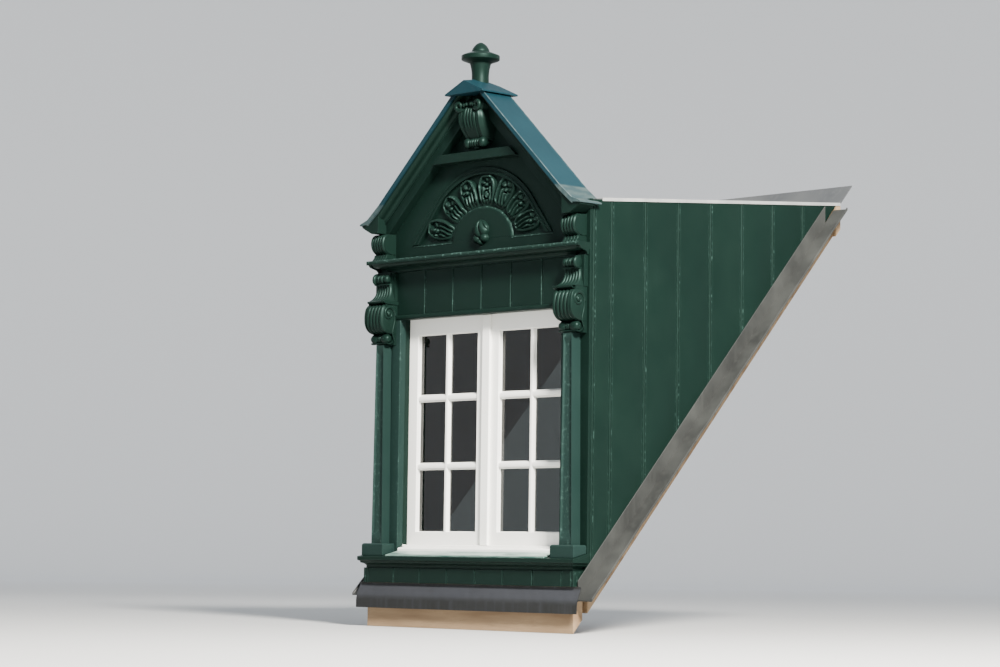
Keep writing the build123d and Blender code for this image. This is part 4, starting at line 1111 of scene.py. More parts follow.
@dataclass(frozen=True)
class Window:
    """Fixed frame, two sashes with glazing bars, cover strip and panes.

    putty_ring is (inset, depth) of its section, nosing is the threshold's section (y, z), and
    jamb_x, jamb_y and jamb_levels place the jamb board.
    """

    pane_columns: Line = ((0.082, 0.3070), (0.3370, 0.547))
    pane_rows: Line = ((0.438, 0.772), (0.805, 1.138), (1.172, 1.497))
    bar_face: float = 0.070
    housed: float = 0.0008
    glass_face: float = 0.089
    glass_back: float = 0.093
    inner_face: float = 0.105
    bevel: float = 0.35
    putty_ring: Line = ((-0.001, 0.0), (-0.001, 0.005), (0.003, 0.0005))
    threshold: float = 0.366
    threshold_half: float = 0.5995
    nosing: Line = (
        (0.0645, 0.3655), (0.0645, 0.3700), (0.0560, 0.3700), (0.0555, 0.3672), (0.0440, 0.3665),
        (0.0435, 0.3635), (0.0275, 0.3610), (0.0270, 0.3570), (-0.0060, 0.3525),
        (-0.0130, 0.3500), (-0.0160, 0.3450), (-0.0150, 0.3330), (0.0300, 0.3420),
        (0.0300, 0.3600),
    )
    jamb_x: tuple[float, float] = (0.6125, 0.6765)
    jamb_y: tuple[float, float] = (-0.008, 0.034)
    jamb_round: float = 0.004
    jamb_wear: tuple[float, ...] = (0.0, 0.1, 0.4, 0.6, 0.6, 0.4, 0.1, 0.0, 0.0)
    jamb_levels: tuple[float, ...] = (0.301, 0.350, 0.900, 1.450, 1.5815)

    def bar(
        self, shape: Shape, across: Sequence[float], run: Sequence[float], upright: bool
    ) -> None:
        """Glazing bar before and behind the glass: a bevelled section carried from end to end.

        Args:
            shape: Shape that takes the bar.
            across: Its two sides, along X or Z.
            run: Its two ends, along Z or X.
            upright: True where it runs along Z.
        """
        a, b = across
        ends = np.array(run)[:, None]
        drop = 0.0 if upright else self.housed
        for near, far in (
            (self.bar_face + drop, self.glass_face), (self.inner_face - drop, self.glass_back),
        ):
            lean = self.bevel * (far - near)
            side, out = np.array([
                (a, far), (a, far - lean), (a + 0.006, near + 0.2 * lean), (a + 0.009, near),
                (b - 0.009, near), (b - 0.006, near + 0.2 * lean), (b, far - lean), (b, far),
            ]).T
            shape.sweep(surface(side, out, ends) if upright else surface(ends, out, side))

    def putty(self, shape: Shape, columns: Sequence[float], rows: Sequence[float]) -> None:
        """Sloping putty round a pane: a triangle carried round its four mitred corners.

        Args:
            shape: Shape that takes it.
            columns: Left and right of the pane.
            rows: Foot and head of the pane.
        """
        (x0, x1), (z0, z1) = columns, rows
        inset, depth = np.array(self.putty_ring).T
        y = self.glass_face - depth
        left, right, foot, head = x0 + inset, x1 - inset, z0 + inset, z1 - inset
        corners = ((left, foot), (right, foot), (right, head), (left, head))
        shape.sweep(np.stack([surface(x, y, z) for x, z in corners]), loop=True)

    def threshold_steps(self) -> None:
        """Fine steps on the white threshold, carried across between the jambs."""
        x = np.array([-self.threshold_half, self.threshold_half])[:, None]
        shape = Shape()
        shape.sweep(surface(x, *np.array(self.nosing).T))
        shape.make("threshold_steps", WHITE, (), ease=0.0008)

    def jamb(self, side: Side) -> None:
        """Facing strip of the jamb, between the pilaster and the light, its free corner rounded.

        Args:
            side: Side of the window.
        """
        (low, high), (near, far), r = self.jamb_x, self.jamb_y, self.jamb_round
        corner = np.array([(low + r, near + r)]) - r * arc(0.0, pi / 2, 6)
        x, y = np.vstack([[(low, far)], corner, [(high, near), (high, far)]]).T
        shape = Shape()
        shape.sweep(surface(x, y, np.array(self.jamb_levels)[:, None]), np.array(self.jamb_wear))
        shape.make(side.node("jamb_board"), PAINTED_LIT_GREEN, (), side)

    def sash(self, side: Side) -> None:
        """Eases a sash and adds its bars and putty.

        Args:
            side: Side of the window.
        """
        eased(side.node("sash"), WHITE, ease=0.003)
        shape = Shape()
        (left, near), (far, right) = self.pane_columns
        self.bar(shape, (near, far), (self.pane_rows[0][0], self.pane_rows[-1][1]), True)
        for (_, below), (above, _) in zip(self.pane_rows[:-1], self.pane_rows[1:]):
            self.bar(shape, (below, above), (left, right), False)
        for columns in self.pane_columns:
            for rows in self.pane_rows:
                self.putty(shape, columns, rows)
        shape.make(side.node("glazing_bars"), WHITE, (), side)

    def frame(self) -> None:
        """Eases the fixed frame and paints what lies under the threshold's line white."""
        ring = eased("window_frame", GREEN, ease=0.0025)
        ring.data.materials.append(WHITE.material())
        work = bmesh.new()
        work.from_mesh(ring.data)
        whole = work.verts[:] + work.edges[:] + work.faces[:]
        level = (0, 0, self.threshold)
        bmesh.ops.bisect_plane(work, geom=whole, plane_co=level, plane_no=(0, 0, 1))
        for face in work.faces:
            face.material_index = int(max(vert.co.z for vert in face.verts) < level[2] + 1e-5)
        work.to_mesh(ring.data)
        work.free()

    def build(self) -> None:
        """Builds the whole window."""
        self.frame()
        eased("cover_strip", WHITE, ease=0.003)
        self.threshold_steps()
        for side in Side:
            self.jamb(side)
            self.sash(side)
            dress((side.node("glass"),), SHADE_TINTED_PANE)


@dataclass(frozen=True)
class Pilaster:
    """Base block, tapering shaft and corner board of one side."""

    base_foot: float = 0.374
    shaft_top: float = 1.445
    face: float = 0.065
    foot: tuple[float, float] = (0.675, 0.757)
    head: tuple[float, float] = (0.686, 0.743)
    stretches: Line = ((0.0, 0.10), (0.11, 0.89), (0.90, 1.0))
    shoulder: float = 0.060
    arris: float = 0.002
    chamfer: float = 0.010
    wear: float = 0.35

    def build(self, side: Side) -> None:
        """Shaft with chamfers that start and stop in curved shoulders, on its eased base.

        The ring at height z is the tapering rectangle with its front corners cut by
        c(z) = c * step(z) near both ends.

        Args:
            side: Side of the front.
        """
        share = np.concatenate([np.linspace(*stretch, 30) for stretch in self.stretches])
        z = share * (self.shaft_top - self.base_foot) + self.base_foot
        inner = self.foot[0] + share * (self.head[0] - self.foot[0])
        outer = self.foot[1] + share * (self.head[1] - self.foot[1])
        start = self.base_foot + 0.02
        cut = self.arris + self.chamfer * step(z, start, start + self.shoulder)
        cut -= self.chamfer * step(z, self.shaft_top - self.shoulder, self.shaft_top - 0.015)
        turn = arc(0.0, pi / 2, 6)
        corners = [(inner + cut * (1 - b), self.face - cut * a) for a, b in turn[::-1]]
        corners += [(outer - cut * (1 - b), self.face - cut * a) for a, b in turn]
        rings = [(inner, 0.0), *corners, (outer, 0.0)]
        net = np.stack([surface(x, -np.asarray(f), z) for x, f in rings], axis=1)
        worn = np.zeros(len(rings))
        worn[2:-2] = self.wear
        shape = Shape()
        shape.sweep(net, worn)
        shape.make(side.node("shaft"), PAINTED_LIT_GREEN, (side.node("pilaster"),), side, crease=50)
        eased(side.node("base_block"), PAINTED_LIT_GREEN, ease=0.003)
        eased(side.node("corner_board"), GREEN, ease=0.0025)


@dataclass(frozen=True)
class Console:
    """Scroll console over a pilaster: foot roll, volute, shelf, reeded neck and top roll.

    Outlines are (out, height), neck adds the half width, the beads are (place from the middle,
    half length, radius) and blocks are the corners of the plain blocks behind the carving.
    """

    inner: float = 0.646
    outer: float = 0.790
    back: float = 0.024
    volute: Line = (
        (0.004, 1.506), (0.048, 1.503), (0.088, 1.516), (0.112, 1.546), (0.1190, 1.586),
        (0.115, 1.626), (0.104, 1.651), (0.080, 1.663), (0.004, 1.664),
    )
    volute_reeds: int = 5
    reed: float = 0.0105
    cheek_share: float = 0.915
    shoulder: float = 0.007
    eye: tuple[float, float] = (0.064, 1.612)
    curl: tuple[float, float] = (0.044, 0.012)
    curl_start: float = radians(190)
    curl_turns: float = -1.5
    curl_bar: tuple[float, float] = (0.0095, 0.0060)
    tail: Line = (
        (0.024, 1.606), (0.022, 1.576), (0.030, 1.541), (0.036, 1.511), (0.028, 1.486),
        (0.020, 1.464),
    )
    tail_bar: tuple[float, float] = (0.0065, 0.0040)
    button: Line = ((0.0, -0.0115), (0.008, -0.0100), (0.0135, -0.0055), (0.0150, 0.0))
    shelf_ends: tuple[float, float] = (0.641, 0.778)
    shelf: Line = (
        (0.0, 1.662), (0.086, 1.666), (0.104, 1.672), (0.105, 1.680), (0.102, 1.682),
        (0.0, 1.682),
    )
    blocks: tuple[tuple[Point, Point], ...] = (
        ((0.648, -0.024, 1.445), (0.787, 0.0, 1.841)),
        ((0.658, -0.030, 1.680), (0.792, 0.0, 1.840)),
        ((0.647, -0.086, 1.652), (0.656, -0.002, 1.681)),
        ((0.7775, -0.086, 1.652), (0.7885, -0.002, 1.681)),
        ((0.668, -0.056, 1.7715), (0.776, 0.0, 1.7775)),
        ((0.668, -0.036, 1.7715), (0.768, 0.0, 1.841)),
    )
    neck: Beads = (
        (0.1015, 1.68, 0.0715), (0.089, 1.686, 0.0705), (0.071, 1.697, 0.068),
        (0.056, 1.714, 0.064), (0.047, 1.736, 0.060), (0.044, 1.758, 0.0570),
        (0.045, 1.778, 0.0560),
    )
    neck_reeds: int = 6
    flute: float = 0.0100
    neck_round: float = 0.005
    top_centre: tuple[float, float] = (0.047, 1.803)
    top_beads: Beads = (
        (-0.0360, 0.0170, 0.0225), (-0.0130, 0.0060, 0.0250), (0.0000, 0.0105, 0.0235),
        (0.0140, 0.0060, 0.0250), (0.0270, 0.0100, 0.0235), (0.0470, 0.0125, 0.0335),
    )
    foot_centre: tuple[float, float] = (0.052, 1.478)
    foot_beads: Beads = (
        (-0.0400, 0.0300, 0.0270), (-0.0060, 0.0080, 0.0225), (0.0060, 0.0080, 0.0225),
        (0.0390, 0.0310, 0.0275),
    )
    cradle: tuple[float, float] = (0.0265, 0.0325)
    cradle_centre: tuple[float, float] = (0.053, 1.480)
    cradle_turn: tuple[float, float] = (radians(150), radians(300))
    cradle_least: tuple[float, float] = (0.001, 1.4455)
    cradle_ends: tuple[float, float] = (0.652, 0.784)

    @property
    def middle(self) -> float:
        """X of the console's middle."""
        return (self.inner + self.outer) / 2

    def body(self, shape: Shape) -> None:
        """Volute: its side outline carried across, pushed in along its normals between the reeds.

        Args:
            shape: Shape that takes it.
        """
        line = flowing(self.volute, 72)
        normal = outward(line)
        ends = step(line[:, 0], self.back, self.back + 0.03)
        x = np.linspace(self.inner, self.outer - 0.0005, 121)
        share = (x - self.inner) / (self.outer - self.inner)
        crown = reeds(np.clip((share - 0.015) / 0.90, 0, 1), self.volute_reeds)
        crown = np.where(share > self.cheek_share, 1.0, crown)
        rounded = np.sqrt(np.clip(1 - np.abs(2 * share - 1) ** 14, 0, 1))
        push = self.reed * (crown - 1.0)[:, None] * ends[None, :]
        push = push - self.shoulder * (1 - rounded)[:, None] * ends[None, :]
        side = line[None, :, :] + push[:, :, None] * normal[None, :, :]
        shape.sweep(surface(x[:, None], -side[:, :, 0], side[:, :, 1]))

    def scrolls(self, shape: Shape) -> None:
        """Spiral ridges, eyes and tails on both side faces of the volute.

        Args:
            shape: Shape that takes them.
        """
        curl = spiral(self.eye, *self.curl, self.curl_start, self.curl_turns, 90)
        tail = flowing(self.tail, 40)
        button = np.array(self.button)
        button = np.vstack([button, (button * (1, -1))[-2::-1]])
        for x in (self.inner, self.outer - 0.002):
            for line, bar in ((curl, self.curl_bar), (tail, self.tail_bar)):
                path = surface(x, -line[:, 0], line[:, 1])
                shape.tube(path, np.linspace(*bar, len(line)), (1.0, 0.0, 0.0))
            shape.lathe(button, (x, -self.eye[0], self.eye[1]), axis=0, sides=24)

    def throat(self, shape: Shape) -> None:
        """Neck: flutes that spread and sweep forward onto the shelf, ring by ring upwards.

        Args:
            shape: Shape that takes it.
        """
        data = np.array(self.neck)
        count = 48
        path = np.column_stack([flowing(data[:, :2], count), flowing(data[:, 1:], count)[:, 1]])
        u = np.linspace(-1, 1, 121)
        crown = reeds((u + 1) / 2, self.neck_reeds)
        top = self.shelf[-1][1]
        fade = step(path[:, 1], top - 0.001, top + 0.004)
        x = self.middle + u[None, :] * path[:, 2, None]
        run = np.gradient(path[:, :2], axis=0)
        run /= np.linalg.norm(run, axis=1, keepdims=True)
        cut = self.flute * (crown[None, :] - 1) * fade[:, None]
        depth = path[:, 0, None] + cut * run[:, 1, None]
        depth = depth - self.neck_round * np.abs(u[None, :]) ** 8
        height = path[:, 1, None] - cut * run[:, 0, None]
        rear = [surface(x[:, end], 0.0, path[:, 1]) for end in (-1, 0)]
        front = surface(x, -depth, height)
        shape.sweep(np.concatenate([front, np.stack(rear, axis=1)], axis=1))

    def plate(self, shape: Shape) -> None:
        """Shelf under the neck, thin at its front edge, and the blocks behind everything.

        Args:
            shape: Shape that takes them.
        """
        out, height = np.array(self.shelf).T
        shape.sweep(surface(np.array(self.shelf_ends)[:, None], -out, height))
        for low, high in self.blocks:
            shape.block(low, high)

    def rolls(self, shape: Shape) -> None:
        """Top and foot rolls of beads, and the foot roll's cradle.

        Args:
            shape: Shape that takes them.
        """
        for (out, height), parts in (
            (self.top_centre, self.top_beads), (self.foot_centre, self.foot_beads),
        ):
            shape.beads((self.middle, -out, height), parts, 24, 0.7, 40)
        centre, turn = np.array(self.cradle_centre), arc(*self.cradle_turn, 24)
        near, far = (centre + radius * turn for radius in self.cradle)
        out, height = np.maximum(np.vstack([near, far[::-1]]), self.cradle_least).T
        shape.sweep(surface(np.array(self.cradle_ends)[:, None], -out, height))

    def build(self, side: Side) -> None:
        """Builds one console.

        Args:
            side: Side of the front.
        """
        shape = Shape()
        for part in (self.body, self.scrolls, self.throat, self.plate, self.rolls):
            part(shape)
        shape.make(side.node("scroll_console"), GREEN, (side.node("console"),), side, crease=40)


@dataclass(frozen=True)
class EndBlock:
    """Reeded scroll block that stands on the cornice's end. Outlines are (out, height)."""

    inner: float = 0.672
    outer: float = 0.780
    profile: Line = (
        (0.046, 1.934), (0.060, 1.942), (0.079, 1.958), (0.0905, 1.982), (0.0920, 2.008),
        (0.083, 2.033), (0.062, 2.047), (0.030, 2.050), (0.0, 2.050),
    )
    foot: Line = (
        (0.078, 1.904), (0.076, 1.912), (0.066, 1.924), (0.060, 1.937), (0.030, 1.940),
        (0.0, 1.940),
    )
    reed_count: int = 5
    reed: float = 0.0090
    foot_reed: float = 0.006

    def part(self, shape: Shape, points: Line, depth: float, edge: float) -> None:
        """One part: its outline carried across and pushed in between the reeds.

        Args:
            shape: Shape that takes it.
            points: Outline (out, height).
            depth: Depth of the grooves.
            edge: Plain share at each end.
        """
        line = flowing(points, 48)
        normal = outward(line)
        x = np.linspace(self.inner, self.outer, 89)
        share = (x - self.inner) / (self.outer - self.inner)
        crown = reeds(np.clip((share - edge) / (1 - 2 * edge), 0, 1), self.reed_count)
        fade = step(line[:, 0], 0.005, 0.03)
        push = depth * (crown - 1.0)[:, None] * fade[None, :]
        body = line[None, :, :] + push[:, :, None] * normal[None, :, :]
        rings = surface(x[:, None], -body[:, :, 0], body[:, :, 1])
        rear = surface(x, 0.0, points[0][1])[:, None, :]
        shape.sweep(np.concatenate([rings, rear], axis=1))

    def build(self, side: Side) -> None:
        """Builds one block.

        Args:
            side: Side of the front.
        """
        shape = Shape()
        self.part(shape, self.profile, self.reed, 0.03)
        self.part(shape, self.foot, self.foot_reed, 0.02)
        shape.make(side.node("scroll_block"), GREEN, (side.node("end_block"),), side, crease=40)


@dataclass(frozen=True)
class Frieze:
    """Boards over the window, their drip moulding and the cornice.

    section is the cornice's (out, height), and return_ends places the ends of its returns, each
    with how far it is drawn in at the bed.
    """

    joints: tuple[float, ...] = (-0.675, -0.428, -0.207, 0.011, 0.233, 0.462, 0.675)
    foot: float = 1.605
    head: float = 1.883
    board: float = 0.018
    section: Line = (
        (-0.010, 1.842), (0.014, 1.842), (0.014, 1.848), (0.023, 1.858), (0.045, 1.865),
        (0.066, 1.870), (0.076, 1.8832), (0.0905, 1.8832), (0.0905, 1.9035), (-0.010, 1.9035),
    )
    return_ends: Line = ((0.7925, 0.0), (0.7965, 0.002), (0.8080, 0.010))
    bed: tuple[float, float] = (1.842, 1.884)
    arris: float = 0.0030
    arris_end: float = 0.807
    strip: float = 0.012
    proud: Point = (0.0008, 0.0010, 0.0012)

    def returns(self, side: Side) -> None:
        """End of the cornice that stands past the corner board, its section drawn in at the bed.

        Args:
            side: Side of the front.
        """
        out, height = np.array(self.section).T
        low, high = self.bed
        ends, drawn = np.array(self.return_ends).T[:, :, None]
        x = ends - drawn * np.clip((high - height) / (high - low), 0.0, 1.0)
        shape = Shape()
        shape.sweep(surface(x, -out, height))
        shape.make(side.node("cornice_return"), GREEN, (), side, ease=0.001)

    def worn_arris(self) -> None:
        """Worn upper edge of the cornice: a thin rounded strip with its wear along the front."""
        face, top = self.section[-2]
        under_lip, before, over = self.proud
        reach = np.array((self.arris + before, self.arris + over))
        edge = np.array((face - self.arris, top - self.arris)) + reach * arc(0.0, pi / 2, 7)
        rear, under = face - self.strip, top - self.strip
        foot = [(rear, under), (face + under_lip, under)]
        out, height = np.vstack([foot, edge, [(rear, top + over)]]).T
        tint = np.concatenate([[0.0, 0.3], np.full(7, 1.5), [0.6]])
        x = np.linspace(-self.arris_end, self.arris_end, 160)[:, None]
        shape = Shape()
        shape.sweep(surface(x, -out, height), tint)
        shape.make("cornice_arris", GREEN, ())

    def build(self) -> None:
        """Builds the boards and eases the mouldings."""
        shape = Shape()
        boards = Boarding(self.joints, 0.0, self.board, arris=0.004)
        boards.add(shape, self.foot, self.head, on_front)
        shape.make("frieze_board_row", GREEN, ("frieze_boards",))
        eased("frieze_moulding", GREEN, ease=0.0015)
        eased("cornice", GREEN, ease=0.002)
        self.worn_arris()
        for side in Side:
            self.returns(side)


@dataclass(frozen=True)
class Lobe:
    """One lobe of the fan: middle, lie in degrees, half length, half width, way it curls."""

    x: float
    z: float
    lie: float
    half_length: float
    half_width: float
    hand: float


@dataclass(frozen=True)
class Fan:
    """Half disc with a shell of hollowed lobes round it, inside the arch."""

    base: float = 1.980
    arch_half_width: float = 0.531
    arch_pitch: float = radians(53.0)
    arch_radius: float = 0.490
    arch_band: float = 0.038
    field_face: float = 0.018
    ground: float = 0.0015
    disc_half_width: float = 0.231
    disc_height: float = 0.173
    disc_relief: float = 0.012
    disc_fall: float = 0.0070
    relief: float = 0.0245
    rim: float = 0.0095
    chamfer: float = 0.009
    vein_gap: float = 0.36
    side_eye: tuple[float, float, float] = (0.26, -0.10, 0.0125)
    middle_eye: tuple[float, float, float] = (0.40, 0.0, 0.0105)
    bud_place: float = 0.22
    bud: float = 0.0165
    ledge: tuple[float, float] = (0.228, 0.5315)
    ledge_section: Line = (
        (0.0070, -0.0130), (0.0042, -0.0110), (0.0042, -0.0070), (0.0125, 0.0012),
        (0.0170, 0.0012),
    )
    ledge_wear: tuple[float, ...] = (0.0, 1.0, 1.6, 1.6, 0.4)
    shell: tuple[Lobe, ...] = (
        Lobe(0.341, 0.068, 11.0, 0.099, 0.060, 1.0),
        Lobe(0.271, 0.156, 33.0, 0.094, 0.062, 1.0),
        Lobe(0.168, 0.228, 58.0, 0.089, 0.064, 1.0),
        Lobe(0.037, 0.250, 89.0, 0.086, 0.068, 0.0),
        Lobe(-0.097, 0.232, 118.0, 0.090, 0.066, -1.0),
        Lobe(-0.211, 0.166, 143.0, 0.094, 0.065, -1.0),
        Lobe(-0.315, 0.068, 169.0, 0.097, 0.062, -1.0),
    )
    rays: int = 660
    rings: int = 138
    split: float = 0.12
    split_edge: float = 0.03

    def reach(self, angle: Array) -> Array:
        """Distance from the base's middle to the arch's inner line, leg or head, at each angle.

        Args:
            angle: Angles over the base, in radians.

        Returns:
            The distances.
        """
        lean = self.arch_pitch
        radius = self.arch_radius - self.arch_band
        half = self.arch_half_width - self.arch_band / sin(lean)
        foot = (self.arch_half_width - self.arch_radius * sin(lean)) * tan(lean)
        centre = foot - self.arch_radius * cos(lean)
        folded = np.minimum(angle, pi - angle)
        leg = half * sin(lean) / np.sin(folded + lean)
        head = centre * np.sin(angle) + np.sqrt(radius**2 - (centre * np.cos(angle)) ** 2)
        touch = np.arctan2(centre + radius * cos(lean), radius * sin(lean))
        return np.where(folded < touch, leg, head)

    def edge(self, angle: Array | float) -> Array | float:
        """Distance from the base's middle to the half disc's edge: that of an ellipse."""
        across, up = np.cos(angle) / self.disc_half_width, np.sin(angle) / self.disc_height
        return 1 / np.sqrt(across**2 + up**2)

    def carve(self, x: Array, z: Array, lobe: Lobe) -> Array:
        """Height of one lobe: a rolled rim that curls over its outer end, and a palmette inside.

        p runs along the lobe from the disc to its round end and q across it. The half width is
        w(p) = (1 - |p|^2.5)^(1/2.5) (0.92 + 0.12 p), and d = (w - |q|) b is the depth inside it.
        The leaf's veins are the crests of cos(2 pi v / gap), v = q + 0.30 (p - eye)^2 on the
        curling side, which run from the disc to an eye near the outer end; petals cos(5 a) stand
        beyond the eye. The middle lobe is upright and has a ringed bud under its eye.

        Args:
            x: Places along the front from the fan's middle.
            z: Heights over the fan's base.
            lobe: The lobe.

        Returns:
            Height over the ground at each place.
        """
        length, width, hand = lobe.half_length, lobe.half_width, lobe.hand
        turn = radians(lobe.lie)
        p = ((x - lobe.x) * cos(turn) + (z - lobe.z) * sin(turn)) / length
        q = ((z - lobe.z) * cos(turn) - (x - lobe.x) * sin(turn)) / width
        full = np.clip(1 - np.abs(p) ** 2.5, 0, 1) ** 0.4 * (0.92 + 0.12 * p)
        inside = np.minimum((full - np.abs(q)) * width, (1 - np.abs(p)) * length * 1.25)
        roll = np.sqrt(np.clip(1 - ((inside - self.rim) / self.rim) ** 2, 0, 1))
        well = step(inside, 1.75 * self.rim, 2.5 * self.rim)
        if hand:
            eye_p, eye_q, size = self.side_eye
            eye_q *= hand
            lift = 0.80 + 0.20 * np.tanh(3 * q * hand + 1.5 * p)
            vein = q * hand + 0.30 * (p - eye_p) ** 2
        else:
            eye_p, eye_q, size = self.middle_eye
            lift = 0.86 + 0.14 * np.tanh(3 * p)
            vein = q
        near = np.hypot((p - eye_p) * length, (q - eye_q) * width)
        around = np.arctan2((q - eye_q) * width, (p - eye_p) * length)
        veins = (0.5 + 0.5 * np.cos(2 * pi * vein / self.vein_gap)) ** 0.8
        veins = veins * step(-p, -eye_p - 0.05, -eye_p + 0.22)
        petals = (0.5 + 0.5 * np.cos(5.0 * around)) ** 0.8 * step(p, eye_p - 0.05, eye_p + 0.10)
        leaf = 0.62 * np.maximum(veins, petals) * step(near, 0.0, 2.6 * size)
        hollow = 0.14 + 0.14 * bump(p, 0.6) * bump(q, 0.6) + leaf
        rounds = [(size, near)]
        if not hand:
            rounds.append((self.bud, np.hypot((p + self.bud_place) * length, q * width)))
        for radius, gap in rounds:
            hollow = hollow * (1 - 0.85 * bump(gap - 1.30 * radius, 0.0040))
            ball = 0.30 + 0.66 * np.sqrt(np.clip(1 - (gap / radius) ** 2, 0, 1))
            hollow = np.maximum(hollow, ball * (gap < radius))
        height = np.maximum(roll * lift, well * hollow)
        height += (1 - well) * step(inside, self.rim, 1.6 * self.rim) * 0.12
        beyond = np.hypot(x, z) - self.edge(np.arctan2(z, x))
        sunk = 0.22 + 0.78 * step(beyond, 0.004, 0.040)
        return np.where(inside > 0, self.relief * np.clip(height, 0.0, 1.0) * sunk, 0.0)

    def build(self) -> None:
        """Carves disc and lobes as one net of rays and rings: y = field - height(x, z)."""
        angle = np.linspace(0, pi, self.rays)[:, None]
        share = np.linspace(0, 1, self.rings)[None, :]
        reach, edge = self.reach(angle), self.edge(angle)
        split, brim, cut = self.split, self.split - self.split_edge, self.chamfer
        flat = np.minimum(share / brim, 1.0) * (edge - cut)
        bevel = np.clip((share - brim) / self.split_edge, 0.0, 1.0) * cut
        beyond = edge + (share - split) / (1 - split) * (reach - edge)
        radius = np.where(share <= split, flat + bevel, beyond)
        x, z = radius * np.cos(angle), radius * np.sin(angle)
        height = np.full(x.shape, self.ground)
        for lobe in self.shell:
            height = np.maximum(height, self.ground + self.carve(x, z, lobe))
        slope = np.clip((radius - edge + cut) / cut, 0.0, 1.0)
        height = np.where(share <= split, self.disc_relief - self.disc_fall * slope, height)
        rubbed = 1.1 * bump(slope - 0.6, 0.4) * (slope > 0)
        wear = np.where(share <= split, rubbed, step(height, 0.015, 0.024) * 0.55)
        shape = Shape()
        shape.relief(surface(x, self.field_face - height, self.base + z), self.field_face, wear)
        self.ledges(shape)
        shape.make("leaf_fan", GREEN, ("fan_carving",), crease=55)

    def ledges(self, shape: Shape) -> None:
        """Worn slanting edge of the board under the fan, from disc to arch on both sides.

        Args:
            shape: Shape that takes them.
        """
        y, z = np.array(self.ledge_section).T
        for sign in (-1, 1):
            x = sign * np.linspace(*self.ledge, 24)[:, None]
            shape.sweep(surface(x, y, self.base + z), np.array(self.ledge_wear))


@dataclass(frozen=True)
class Rosette:
    """Carved bud on the half disc, with three lobes (x, z, radius) hanging under it."""

    centre: float = 2.012
    seat: float = 0.006
    radius: float = 0.070
    relief: float = 0.036
    bud: tuple[float, float] = (0.0560, 0.050)
    bud_rise: float = 0.018
    lobes: Beads = ((-0.027, -0.032, 0.025), (0.027, -0.030, 0.026), (0.002, -0.050, 0.019))
    leaf_count: float = 6.5

    def build(self) -> None:
        """Height over a round net: a leafy bud, h = R sqrt(1 - e^2) with leaf cuts, and lobes."""
        angle = np.linspace(0, 2 * pi, 180, endpoint=False)[:, None]
        r = np.linspace(0, 1, 80)[None, :] * self.radius
        x, z = r * np.cos(angle), r * np.sin(angle)
        p, q = x / self.bud[0], (z - self.bud_rise) / self.bud[1]
        e = np.hypot(p * (1 + 0.22 * np.clip(q, 0, 1) ** 2), q)
        spread = np.arctan2(p - 0.08, 1.45 - q)
        leaves = np.abs(np.sin(self.leaf_count * spread + 0.9 * q)) ** 0.6
        bud = np.clip(1 - e**2.4, 0, 1) ** 0.45 * (0.62 + 0.38 * leaves)
        for cx, cz, size in self.lobes:
            inside = 1 - ((x - cx) ** 2 + (z - cz) ** 2) / size**2
            bud = np.maximum(bud, 0.80 * np.sqrt(np.clip(inside, 0, 1)))
        height = np.where(bud > 0, 0.001 + self.relief * bud, 0.0006)
        shape = Shape()
        net = surface(x, self.seat - height, self.centre + z)
        shape.relief(net, self.seat, wrap=True)
        shape.make("carved_bud", GREEN, ("rosette",), crease=50)


